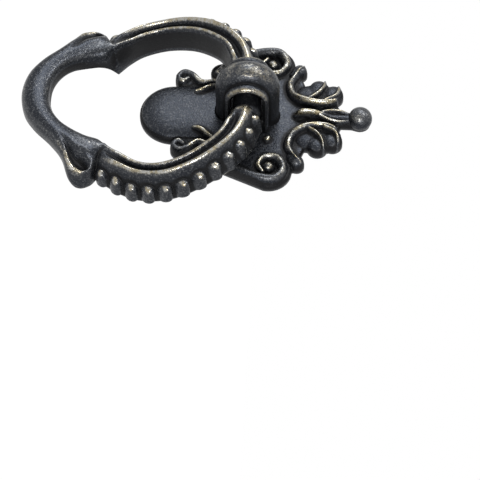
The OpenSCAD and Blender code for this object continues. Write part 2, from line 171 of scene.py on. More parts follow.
def relief(points: Array, spread_rows: float, spread_cols: float) -> Array:
    """How far each point of a grid stands out from its surroundings, in millimetres.

    The surroundings are the blurred grid, and the distance is measured along the surface's
    normal, the cross product of the steps along the columns and the rows, turned away from
    the middle of each row.

    Args:
        points: World points in metres, whose last column joins the first.
        spread_rows: Width of the blur across the rows, in grid steps.
        spread_cols: Width of the blur along a row, in grid steps.

    Returns:
        The distance of each point, above zero where it stands out.
    """
    around = blur(blur(points, spread_rows, 0, False), spread_cols, 1, True)
    along_rows = np.gradient(points, axis=0)
    along_cols = (np.roll(points, -1, 1) - np.roll(points, 1, 1)) / 2
    normal = np.cross(along_cols, along_rows)
    normal /= np.linalg.norm(normal, axis=-1, keepdims=True) + 1e-12
    outward = np.sign(np.einsum("ijk,ijk->", points - points.mean(axis=1, keepdims=True), normal))
    return outward * np.einsum("ijk,ijk->ij", points - around, normal) / MM


def nearest(x: Array, z: Array, start: Array, end: Array) -> tuple[Array, Array]:
    """The nearest place on a straight segment, by dropping a perpendicular and holding it inside.

    Args:
        x: Across, for each point.
        z: Up, for each point.
        start: The segment's start, x and z first.
        end: The segment's end, x and z first.

    Returns:
        Its share of the way along the segment, and its distance from the point.
    """
    dx, dz = end[0] - start[0], end[1] - start[1]
    share = np.clip(((x - start[0]) * dx + (z - start[1]) * dz) / (dx * dx + dz * dz), 0, 1)
    return share, np.hypot(x - start[0] - share * dx, z - start[1] - share * dz)


def to_round(x: Array, z: Array, middle: tuple[float, float, float]) -> Array:
    """Distance to a round given as (x, z, radius), below zero inside it."""
    return np.hypot(x - middle[0], z - middle[1]) - middle[2]


def to_bar(x: Array, z: Array, start: tuple[float, float, float],
           end: tuple[float, float, float]) -> Array:
    """Distance to two rounds, each (x, z, radius), that a straight band joins."""
    share, away = nearest(x, z, start, end)
    return away - mix(start[2], end[2], share)


def to_polygon(x: Array, z: Array, corners: Array) -> Array:
    """Distance to a polygon: to its nearest edge, with the sign from a count of crossings.

    Args:
        x: Across, for each point.
        z: Up, for each point.
        corners: One row of x and z for each corner.

    Returns:
        The distance, below zero inside.
    """
    best = np.full(x.shape, np.inf)
    inside = np.zeros(x.shape, bool)
    for start, end in zip(corners, np.roll(corners, -1, axis=0)):
        best = np.minimum(best, nearest(x, z, start, end)[1])
        if start[1] != end[1]:
            lean = (end[0] - start[0]) * (z - start[1]) / (end[1] - start[1])
            inside ^= ((start[1] > z) != (end[1] > z)) & (x < lean + start[0])
    return np.where(inside, -best, best)


def to_world(x: Array, up: Array, height: Array) -> Array:
    """World points in metres from the drawing frame: (x, -height, up)."""
    return np.stack([x, -height, up], axis=-1) * MM


def grid_faces(rows: int, cols: int, wrap_cols: bool = True, flip: bool = False) -> Array:
    """Quads of a grid of rows by cols points, numbered row by row.

    Args:
        rows: Number of rows.
        cols: Number of columns.
        wrap_cols: Whether the last column joins the first.
        flip: Whether the faces turn the other way.

    Returns:
        Point numbers, one row of four for each quad.
    """
    i, j = np.meshgrid(np.arange(rows - 1), np.arange(cols if wrap_cols else cols - 1), indexing="ij")
    nxt = (j + 1) % cols
    quads = np.stack([i * cols + j, i * cols + nxt, (i + 1) * cols + nxt, (i + 1) * cols + j], -1)
    quads = quads.reshape(-1, 4)
    return quads[:, ::-1] if flip else quads


def cap_faces(first: int, count: int, centre: int, flip: bool = False) -> Array:
    """Triangles from a ring of points to one centre point.

    Args:
        first: Number of the ring's first point.
        count: How many points the ring has.
        centre: Number of the centre point.
        flip: Whether the faces turn the other way.

    Returns:
        Point numbers, one row of three for each triangle.
    """
    j = np.arange(count)
    tris = np.stack([first + j, first + (j + 1) % count, np.full(count, centre)], -1)
    return tris[:, ::-1] if flip else tris


@dataclass
class Surface:
    """Points, faces and per-point values of one closed shape."""

    points: Array
    quads: Array
    tris: Array
    wear: Array
    patina_and_shade: Array

    @classmethod
    def tube(cls, grid: Array, wear: Array, patina_and_shade: Array, end_wear: float,
             end_patina_and_shade: float) -> "Surface":
        """A grid of closed rows, each end closed by a fan round the middle of its row.

        Args:
            grid: World points by row and column.
            wear: Wear of each point of the grid.
            patina_and_shade: Darkness of each point of the grid, from dark wash and painted shade.
            end_wear: Wear in the middle of each end.
            end_patina_and_shade: Darkness in the middle of each end.

        Returns:
            The closed surface, with its faces outwards.
        """
        rows, cols = grid.shape[:2]
        n = rows * cols
        points = np.vstack([grid.reshape(-1, 3), grid[0].mean(0), grid[-1].mean(0)])
        tris = np.vstack([cap_faces(0, cols, n, flip=True), cap_faces(n - cols, cols, n + 1)])
        return cls(points, grid_faces(rows, cols), tris, np.append(wear.ravel(), [end_wear] * 2),
                   np.append(patina_and_shade.ravel(), [end_patina_and_shade] * 2)).outward()

    @classmethod
    def turned(cls, grid: Array, wear: Array, patina_and_shade: Array) -> "Surface":
        """A grid of closed rows whose first and last rows shrink to a point.

        Args:
            grid: World points by row and column.
            wear: Wear of each point of the grid.
            patina_and_shade: Darkness of each point of the grid, from dark wash and painted shade.

        Returns:
            The surface, with its faces outwards.
        """
        rows, cols = grid.shape[:2]
        return cls(grid.reshape(-1, 3), grid_faces(rows, cols), NO_TRIS, wear.ravel(),
                   patina_and_shade.ravel()).outward()

    def joined(self, other: "Surface") -> "Surface":
        """This surface and another as one.

        Args:
            other: The surface to add.

        Returns:
            One surface with the points and faces of both.
        """
        n = len(self.points)
        return Surface(np.vstack([self.points, other.points]), np.vstack([self.quads, other.quads + n]),
                       np.vstack([self.tris, other.tris + n]), np.concatenate([self.wear, other.wear]),
                       np.concatenate([self.patina_and_shade, other.patina_and_shade]))

    def outward(self) -> "Surface":
        """This closed surface with its faces turned outwards, from the sign of its volume.

        Returns:
            The same surface, or one with every face turned round.
        """
        p = self.points
        fan = np.vstack([self.quads[:, [0, 1, 2]], self.quads[:, [0, 2, 3]], self.tris])
        a, b, c = p[fan[:, 0]], p[fan[:, 1]], p[fan[:, 2]]
        if np.einsum("ij,ij->", a, np.cross(b, c)) >= 0:
            return self
        return Surface(p, self.quads[:, ::-1], self.tris[:, ::-1], self.wear, self.patina_and_shade)

    def as_object(self, name: str) -> bpy.types.Object:
        """The surface as a smooth-shaded mesh object with its per-point values.

        Args:
            name: Name of the object.

        Returns:
            The new object, linked to the scene.
        """
        mesh = bpy.data.meshes.new(name)
        mesh.vertices.add(len(self.points))
        mesh.vertices.foreach_set("co", self.points.astype(np.float32).ravel())
        corners = np.concatenate([self.quads.ravel(), self.tris.ravel()]).astype(np.int32)
        starts = np.concatenate([np.arange(len(self.quads)) * 4,
                                 len(self.quads) * 4 + np.arange(len(self.tris)) * 3]).astype(np.int32)
        mesh.loops.add(len(corners))
        mesh.loops.foreach_set("vertex_index", corners)
        mesh.polygons.add(len(starts))
        mesh.polygons.foreach_set("loop_start", starts)
        mesh.update(calc_edges=True)
        mesh.validate()
        mesh.shade_smooth()
        for label, values in (("wear", self.wear), ("patina_and_shade", self.patina_and_shade)):
            layer = mesh.attributes.new(label, "FLOAT", "POINT")
            layer.data.foreach_set("value", values.astype(np.float32))
        return placed(name, mesh)


def placed(name: str, data: bpy.types.ID) -> bpy.types.Object:
    """A new object with the given data, linked to the scene.

    Args:
        name: Name of the object.
        data: Its mesh, camera or lamp.

    Returns:
        The object.
    """
    obj = bpy.data.objects.new(name, data)
    bpy.context.scene.collection.objects.link(obj)
    return obj


# ---------------------------------------------------------------- ring

@dataclass
class RightHalf:
    """The right half of the ring on its grid: rows are stations, columns go round the section."""

    stations: Array
    points: Array
    on_bead: Array
    bead_head: Array


@dataclass
class Ring:
    """The heart-shaped ring: one casting of bowed arms, beads, waisted knobs and a flat grip.

    A station counts the knots of the outline, from the arm's tip at 0 to the middle of the
    grip. A share runs from the inner edge at 0 to the outer edge at 1. A column counts the
    knots of the section, from the inner edge over the front and the outer edge to the back.
    """

    hinge: float = 7.5
    half_w: float = 18.9
    drop: float = 39.8
    grip_w: float = 5.2
    arm_w: float = 4.6
    arm_x: float = 4.3
    back_off: float = 3.0
    grip_back: float = -0.2
    lobe_dip: float = 4.3
    grip_lift: float = 0.8
    peg_r: float = 2.4
    peg_in: float = 0.5
    # Runs along the ring, as (start, length) in stations; the last three count from the waist.
    tip_run: tuple[float, float] = (0.25, 1.2)
    waist_run: tuple[float, float] = (-1.8, 2.6)
    grip_run: tuple[float, float] = (2.2, 2.2)
    # The back steps forward: how much later at the outer edge, and over what length.
    step_run: tuple[float, float] = (2.4, 2.6)
    # The arm's tip is drawn in to this share of its section, over this many stations.
    tip_round: tuple[float, float] = (0.72, 0.3)
    # Beads: the first value is for the arm's tip, and the second for the lower lobe.
    bead_count: int = 12
    bead_r: tuple[float, float] = (1.16, 1.42)
    bead_top: tuple[float, float] = (1.7, 0.6)
    bead_taper: tuple[float, float] = (0.45, 0.28)
    bead_dome: float = 1.4
    bead_run: tuple[float, float] = (0.8, 4.5)
    bead_tail: float = 3.0
    bead_sink: float = 0.28
    bead_fillet: float = 0.08
    bead_out: float = 0.87
    bead_up: float = 0.5
    bead_up_run: tuple[float, float] = (-2.6, 1.5)
    # The wall that carries them, as columns where it begins and ends, each with its run.
    wall_on: tuple[float, float] = (17, 1.2)
    wall_off: tuple[float, float] = (24.2, -0.4)
    # The rubbed crown of a bead: half length, drop below the bead's top, and half height.
    crown: tuple[float, float, float] = (0.5, 0.2, 0.55)
    # Carving along the ring: middle station, half length, and depth or share.
    valley: tuple[float, float, float] = (9.2, 0.32, 0.6)
    valley_side: tuple[float, float] = (0.42, 0.3)
    valley_front: float = 1.5
    cusp: tuple[float, float, float] = (8.9, 0.9, 0.2)
    cusp_run: tuple[float, float] = (-2.5, 4.5)
    # Flute beside the knob: depth, half width as a share, and height of the lip next to it.
    flute: tuple[float, float, float] = (1.9, 0.115, 0.32)
    # Hollows of the back: first and last station and depth, then station, radius and depth.
    pocket: tuple[float, float, float] = (2.1, 4.9, 2.5)
    recess: tuple[float, float, float] = (6.35, 1.85, 0.8)
    pocket_side: tuple[float, float] = (0.18, 0.05)
    pocket_end: float = 0.09
    pocket_dish: float = 0.25
    recess_edge: float = 0.2
    # Columns of the section, each for the lobe and for the waist.
    inner_crest: tuple[float, float] = (7.4, 9.6)
    outer_crest: tuple[float, float] = (15.6, 17.6)
    groove: tuple[float, float] = (11.5, 13.8)
    stations: int = 290
    upper_n: int = 9
    lower_n: int = 8

    def inner(self, k: Array) -> Array:
        """Inside edge of the ring.

        Args:
            k: Stations.

        Returns:
            One row of x and up for each station.
        """
        lobe_in = self.half_w - self.arm_w
        grip_in = self.grip_w - self.drop
        upper = [[self.arm_x, -3], [self.arm_x + 2.2, -3.5], [9.4, -4.8], [11.6, -7.2],
                 [lobe_in - 0.9, -10.3], [lobe_in, -13.8], [lobe_in - 0.1, -16.7],
                 [lobe_in - 1.1, -19.4], [lobe_in - 2.9, -21.6], [lobe_in - 5.2, -23.6]]
        lower = [[lobe_in - 5.2, -23.6], [8.8, -25.1], [8.45, -26.6], [8, -28.3], [7.3, -30.3],
                 [6.1, -32.2], [4.3, grip_in + 1], [2.2, grip_in + 0.2], [0, grip_in]]
        return self._two_part(upper, lower, k)

    def outer(self, k: Array) -> Array:
        """Outside edge of the ring.

        Args:
            k: Stations.

        Returns:
            One row of x and up for each station.
        """
        w, d = self.half_w, self.drop
        upper = [[self.arm_x, 2.7], [self.arm_x + 2.5, 2.3], [10.8, 0.7], [14.3, -2.3],
                 [w - 1.8, -6.4], [w - 0.2, -10.9], [w, -15.1], [w - 0.8, -19.4], [w - 2.4, -22.7],
                 [w - 4.4, -25.7]]
        lower = [[w - 4.4, -25.7], [w - 3.1, -26.7], [w - 2.4, -28.4], [w - 3.3, -30.3],
                 [12.7, -31.7], [9.9, -34], [7.1, 2.9 - d], [4, 0.8 - d], [0, -d]]
        return self._two_part(upper, lower, k)

    def _two_part(self, upper: list, lower: list, k: Array) -> Array:
        """The curve through the upper knots up to the waist, then through the lower ones.

        Args:
            upper: Knots from the tip to the waist.
            lower: Knots from the waist to the middle of the grip.
            k: Stations.

        Returns:
            One row of x and up for each station.
        """
        top = curve(np.array(upper, float), np.minimum(k, self.upper_n))
        low = curve(np.array(lower, float), np.maximum(k - self.upper_n, 0), mirror_end=True)
        return np.where((k <= self.upper_n)[:, None], top, low)

    def bow(self, up: Array) -> Array:
        """How far the ring leans back from the hinge plane: a soft dip, less the grip's lift."""
        return self.lobe_dip * fade(-up, 0.5, 19) - self.grip_lift * fade(-up, 26, 10)

    def to_waist(self, k: Array) -> Array:
        """How far the section has turned from the lobe's into the waist's at stations k."""
        return ease((k - self.upper_n - self.waist_run[0]) / self.waist_run[1])

    def to_grip(self, k: Array) -> Array:
        """How far the section has turned from the waist's into the grip's at stations k."""
        return ease((k - self.upper_n - self.grip_run[0]) / self.grip_run[1])

    def forms(self) -> tuple[Array, Array, Array, Array]:
        """The section's four forms.

        Returns:
            Knots of lobe, waist, grip and arm tip, as rows of (share across, height).
        """
        b, g = -self.back_off, self.grip_back
        back = [(1, b + .22), (.965, b), (.8, b), (.6, b), (.4, b), (.2, b), (.035, b)]
        lobe = [(0, b + .22), (0, -1.6), (.005, -.2), (.015, 1), (.03, 1.9), (.05, 2.4), (.085, 2.74),
                (.13, 2.9), (.175, 2.88), (.215, 2.66), (.255, 2.25), (.3, 1.92), (.355, 1.92),
                (.41, 2.32), (.455, 2.76), (.51, 3.05), (.57, 3.1), (.62, 2.88), (.67, 2.4),
                (.72, 1.8), (.77, 1.15), (.82, .4), (.88, -.6), (.95, -1.8), *back]
        waist = [(0, b + .22), (0, -1.8), (0, -.8), (.005, .2), (.015, 1.1), (.04, 1.8), (.08, 2.4),
                 (.13, 2.8), (.19, 3), (.26, 3.1), (.33, 3.12), (.4, 3.08), (.47, 2.98), (.54, 2.84),
                 (.61, 2.64), (.67, 2.4), (.73, 2.1), (.79, 1.75), (.85, 1.3), (.9, .8), (.94, .2),
                 (.965, -.5), (.985, -1.3), (1, -2), *back]
        grip = [(.01, g + .18), (0, .45), (0, .8), (0, 1.2), (.01, 1.6), (.025, 2), (.05, 2.38),
                (.09, 2.7), (.14, 2.94), (.2, 3.1), (.26, 3.2), (.32, 3.27), (.38, 3.33), (.44, 3.37),
                (.5, 3.39), (.56, 3.39), (.62, 3.37), (.69, 3.3), (.76, 3.18), (.83, 2.97), (.89, 2.66),
                (.94, 2.25), (.975, 1.7), (.99, 1.0), (.985, g + .18), (.955, g), (.8, g), (.6, g),
                (.4, g), (.2, g), (.04, g)]
        tip = [(0, b + .22), (0, -1.9), (.004, -1), (.012, -.2), (.03, .5), (.055, 1), (.085, 1.45),
               (.12, 1.82), (.16, 2.15), (.2, 2.42), (.245, 2.62), (.29, 2.78), (.34, 2.9), (.4, 3),
               (.46, 3.04), (.52, 3.04), (.58, 2.95), (.64, 2.65), (.7, 2.2), (.75, 1.65), (.8, 1),
               (.85, .2), (.9, -.8), (.96, -1.9), *back]
        return np.array(lobe), np.array(waist), np.array(grip), np.array(tip)

    def half_grid(self) -> tuple[Array, Array, Array, Array]:
        """Stations and section coordinates of the right half, with even steps along the ring.

        The section is the tip's form, blended into the lobe's, the waist's and the grip's by
        soft steps along the stations.

        Returns:
            Stations k, wall lengths s, shares across t and heights w, the last two as grids.
        """
        fine = np.linspace(0, self.upper_n + self.lower_n, 3000)
        wall = self.outer(fine)
        path = wall * 0.6 + self.inner(fine) * 0.4
        path_length, wall_length = (
            np.concatenate([[0], np.cumsum(np.linalg.norm(np.diff(line, axis=0), axis=1))])
            for line in (path, wall))
        k = np.interp(np.linspace(0, path_length[-1], self.stations), path_length, fine)
        s = np.interp(k, fine, wall_length)
        lobe, waist, grip, tip = self.forms()
        along = k[:, None, None]
        arm = mix(tip, lobe, fade(along, *self.tip_run))
        knots = mix(mix(arm, waist, self.to_waist(along)), grip, self.to_grip(along))
        section = closed_curve(knots, SECTION_STEPS)
        return k, s, section[..., 0], section[..., 1]

    def columns(self, count: int) -> Array:
        """The column of each of count points round the section."""
        return np.arange(count)[None, :] / SECTION_STEPS

    def bead_lengths(self, k: Array, s: Array) -> Array:
        """Where the beads stand, spread evenly over the lobe.

        Args:
            k: Stations.
            s: Length along the outer wall at each station.

        Returns:
            The length along the wall of each bead.
        """
        first, last = np.interp([0.75, self.upper_n - 0.35], k, s)
        return np.linspace(first, last, self.bead_count)

    def beads(self, k: Array, s: Array, w: Array) -> tuple[Array, Array, Array, Array]:
        """The beads on the outer wall, each a ball drawn out into a tail down the wall.

        A bead grows by the root of (radius^2 - along^2 - above^2), less what is sunk in the
        wall. Its radius shrinks down the tail.

        Args:
            k: Stations.
            s: Length along the outer wall at each station.
            w: Heights of the section's points.

        Returns:
            How far each point grows outwards, its new height, where it is on a bead, and where
            it is on a bead's crown.
        """
        down = fade(k[:, None], *self.bead_run)
        top = mix(*self.bead_top, down)
        along = np.min(np.abs(s[:, None, None] - self.bead_lengths(k, s)), axis=-1)
        behind = np.clip((top - self.bead_dome - w) / self.bead_tail, 0, 1)
        r = mix(*self.bead_r, down) * (1 - mix(*self.bead_taper, down) * behind)
        above = np.maximum(0, w - top + self.bead_dome) * r / self.bead_dome
        ball = np.maximum(0, r ** 2 - along ** 2 - above ** 2)
        j = self.columns(w.shape[1])
        on_wall = fade(j, *self.wall_on) * fade(j, *self.wall_off)
        grown = soft_max(np.sqrt(ball) - self.bead_sink, 0 * w, self.bead_fillet) * on_wall
        raised = w + self.bead_up * grown * fade(w, *self.bead_up_run)
        half_length, drop, half_height = self.crown
        on_bead = np.clip(ball / half_length ** 2, 0, 1) * on_wall
        bead_head = on_bead * bell(along, 0, half_length) * bell(raised - top, -drop, half_height)
        return grown, raised, on_bead, bead_head

    def back_hollows(self, k: Array, t: Array, flat: Array) -> Array:
        """How deep the back is hollowed: a long pocket, deepest on its middle line, and a round.

        Args:
            k: Stations, as a column.
            t: Shares across.
            flat: The points seen from the front, as (x, up).

        Returns:
            The depth at each point.
        """
        first, last, depth = self.pocket
        edge, run = self.pocket_side
        sides = fade(t, edge, run) * fade(t, 1 - edge, -run)
        ends = fade(k, first, self.pocket_end) * fade(k, last, -self.pocket_end)
        pocket = (depth - self.pocket_dish * np.abs(t - 0.5) / 0.3) * sides * ends
        at, radius, depth = self.recess
        middle = mix(self.inner(np.array([at])), self.outer(np.array([at])), 0.5)[0]
        away = np.linalg.norm(flat - middle, axis=-1)
        return pocket + depth * fade(away, radius + self.recess_edge / 2, -self.recess_edge)

    def right_half(self) -> RightHalf:
        """The right half of the ring in the drawing frame: x, up and height.

        A point lies the share t of the way from the inner to the outer edge, and the height w in
        front of the hinge plane, less the bow. The back steps forward to the grip by
        1 - (1 - step)^2. The carving, the beads and the hollows then move t and w, and the
        tip is rounded by a quarter circle.

        Returns:
            The grid of points and where the beads are.
        """
        k, s, t, w = self.half_grid()
        inner, outer = self.inner(k), self.outer(k)
        kk = k[:, None]
        lag, run = self.step_run
        step = np.clip((kk - self.upper_n - lag * t) / run, 0, 1)
        w = np.maximum(w, mix(-self.back_off, self.grip_back, 1 - (1 - step) ** 2))

        w = w - self.flute_depth(kk, t, w)
        at, half, share = self.cusp
        t = t + share * bell(kk, at, half) * (1 - t) ** 2 * fade(w, *self.cusp_run)
        at, half, deep = self.valley
        w = w - deep * bell(kk, at, half) * fade(t, *self.valley_side) * fade(w, 0, self.valley_front)

        grown, w, on_bead, bead_head = self.beads(k, s, w)
        t = t + self.bead_out * grown / np.linalg.norm(outer - inner, axis=1)[:, None]

        flat = mix(inner[:, None, :], outer[:, None, :], t[..., None])
        on_back = np.abs(w + self.back_off) < 0.02
        w = w + np.where(on_back, self.back_hollows(kk, t, flat), 0)

        smallest, run = self.tip_round
        tip = mix(smallest, 1.0, quarter(kk / run))
        centre = flat.mean(axis=1, keepdims=True)
        flat = centre + (flat - centre) * tip[..., None]
        height = self.hinge + w * tip - self.bow(flat[..., 1])
        return RightHalf(k, np.concatenate([flat, height[..., None]], axis=-1), on_bead, bead_head)

    def flute_depth(self, k: Array, t: Array, w: Array) -> Array:
        """Depth of the flute beside each knob: a bell across, less a bell for the lip.

        It is deep next to the knob and fades along the grip. Its middle moves from the outer
        edge, where the knob's ridge hooks round it, to the grip's front.

        Args:
            k: Stations, as a column.
            t: Shares across.
            w: Heights.

        Returns:
            The depth at each point, below zero on the lip.
        """
        deep, half, lip = self.flute
        middle = mix(0.8, 0.7, fade(k, 9.9, 1.6)) - 0.1 * fade(k, 11.4, 2.3)
        along = fade(k, 9.8, 1.2) * fade(k, 13.6, -2.6)
        across = deep * bell(t, middle, half * mix(1.0, 0.75, fade(k, 11, 2.5)))
        return along * (across - lip * bell(t, middle - 2.1 * half, half)) * fade(w, 0.8, 0.8)

    def marks(self, right: RightHalf, stand: Array, wide: Array) -> tuple[Array, Array]:
        """Wear and darkness at each point of the whole grid.

        The ridges are rubbed along their crests by a bell over the section's columns. The groove
        keeps dark wash; the outer slope, the gaps between the beads on it and the inner wall are
        darkened as painted shade.

        Args:
            right: The right half.
            stand: How far each point stands out from its close surroundings.
            wide: How far it stands out from its wider surroundings.

        Returns:
            Wear and darkness.
        """
        kk = right.stations[:, None]
        j = self.columns(right.on_bead.shape[1])
        waist, grip = self.to_waist(kk), self.to_grip(kk)
        lobe = 1 - waist
        inner = bell(j, mix(*self.inner_crest, waist), 2.0)
        outer = bell(j, mix(*self.outer_crest, waist), mix(2.3, 2.8, fade(kk, 3, -3)))
        crest = 0.85 * inner * mix(0.6, 1.0, lobe) + outer * mix(0.3, 1.0, lobe)
        hook = 0.6 * bell(j, 18.6, 1.7) * bell(kk, 12, 1.2)
        hood = 0.7 * bell(kk, 0.4, 0.3) * fade(j, 7, 2) * fade(j, 19, -2)
        crest = np.maximum(crest * (1 - 0.8 * grip), hood) + hook
        edge = 0.45 * grip * (bell(j, 7, 1.2) + bell(j, 20, 1.2))
        rear = 0.44 * fade(j, 23.6, 0.8) * fade(j, 31.4, -0.6)
        rear_edge = 0.3 * (bell(j, 24.6, 0.7) + bell(j, 30.4, 0.7))
        worn = crest + edge + rear + rear_edge + 0.85 * right.bead_head + 0.36 * right.on_bead
        fine = 1 - np.exp(-np.clip(stand, 0, None) / 0.06)
        wear = there_and_back(worn) + 0.3 * fine * (1 - there_and_back(right.on_bead))

        # Painted shade: the outer slope and the gaps between its beads are darkened as if turned from
        # the light.
        slope = fade(j, 17.4 + 2 * fade(kk, 3.5, -3), 1.0) * fade(j, 24, -0.6)
        slope = slope * (1 - 0.85 * grip) * (1 - right.bead_head) * (1 - 0.6 * right.on_bead)
        groove = bell(j, mix(*self.groove, waist), 1.6) * (1 - grip) * fade(kk, 0.5, 0.5)
        # Painted shade: the inner wall is darkened as if turned away from the light.
        shaded_inner_wall = fade(j, 5.5, -1.5) * (j > 0.5)
        dark = there_and_back(0.28 * slope + 0.5 * groove + 0.85 * shaded_inner_wall)
        patina_and_shade = np.clip(dark - stand / 0.1 - wide / 1.2, 0, 1)
        return np.clip(wear, 0, 1.1), patina_and_shade * (1 - 0.9 * there_and_back(crest.clip(0, 1)))

    def build(self, mat: bpy.types.Material) -> None:
        """Makes the ring and dresses it."""
        dress(self.surface(), "cast_ring", "ring", "ring", mat)

    def surface(self) -> Surface:
        """The whole ring with its two pegs: the right half, and its mirror image with -x.

        Returns:
            The ring as one surface.
        """
        right = self.right_half()
        left = right.points[-2::-1] * np.array([-1.0, 1.0, 1.0])
        grid = np.concatenate([right.points, left])
        points = to_world(grid[..., 0], grid[..., 1], grid[..., 2])
        wear, patina_and_shade = self.marks(right, relief(points, 1.9, 2.6), relief(points, 5.0, 7.0))
        body = Surface.tube(points, wear, patina_and_shade, 0.2, 0)
        return body.joined(self._peg(1)).joined(self._peg(-1))

    def _peg(self, side: int) -> Surface:
        """One round peg on the hinge line: a profile of (x, radius) turned about the line.

        Args:
            side: 1 for the right peg and -1 for the left one.

        Returns:
            The peg.
        """
        start, r = self.peg_in, self.peg_r
        end = self.arm_x + 0.9
        profile = np.array([(start, 1e-4), (start, 1.4), (start, r - 0.3), (start + 0.1, r - 0.08),
                            (start + 0.3, r), (end - 1.2, r), (end, r - 0.2), (end, 1e-4)])
        angle = np.linspace(0, 2 * np.pi, ROUND_SIDES, endpoint=False)
        x = side * np.repeat(profile[:, :1], ROUND_SIDES, axis=1)
        points = to_world(x, profile[:, 1:] * np.cos(angle), self.hinge + profile[:, 1:] * np.sin(angle))
        # Painted shade: the pegs sit in the eye's tunnel and are darkened by 0.45 all over.
        return Surface.turned(points, np.full(x.shape, 0.05), np.full(x.shape, 0.45))


# ---------------------------------------------------------------- eye and post

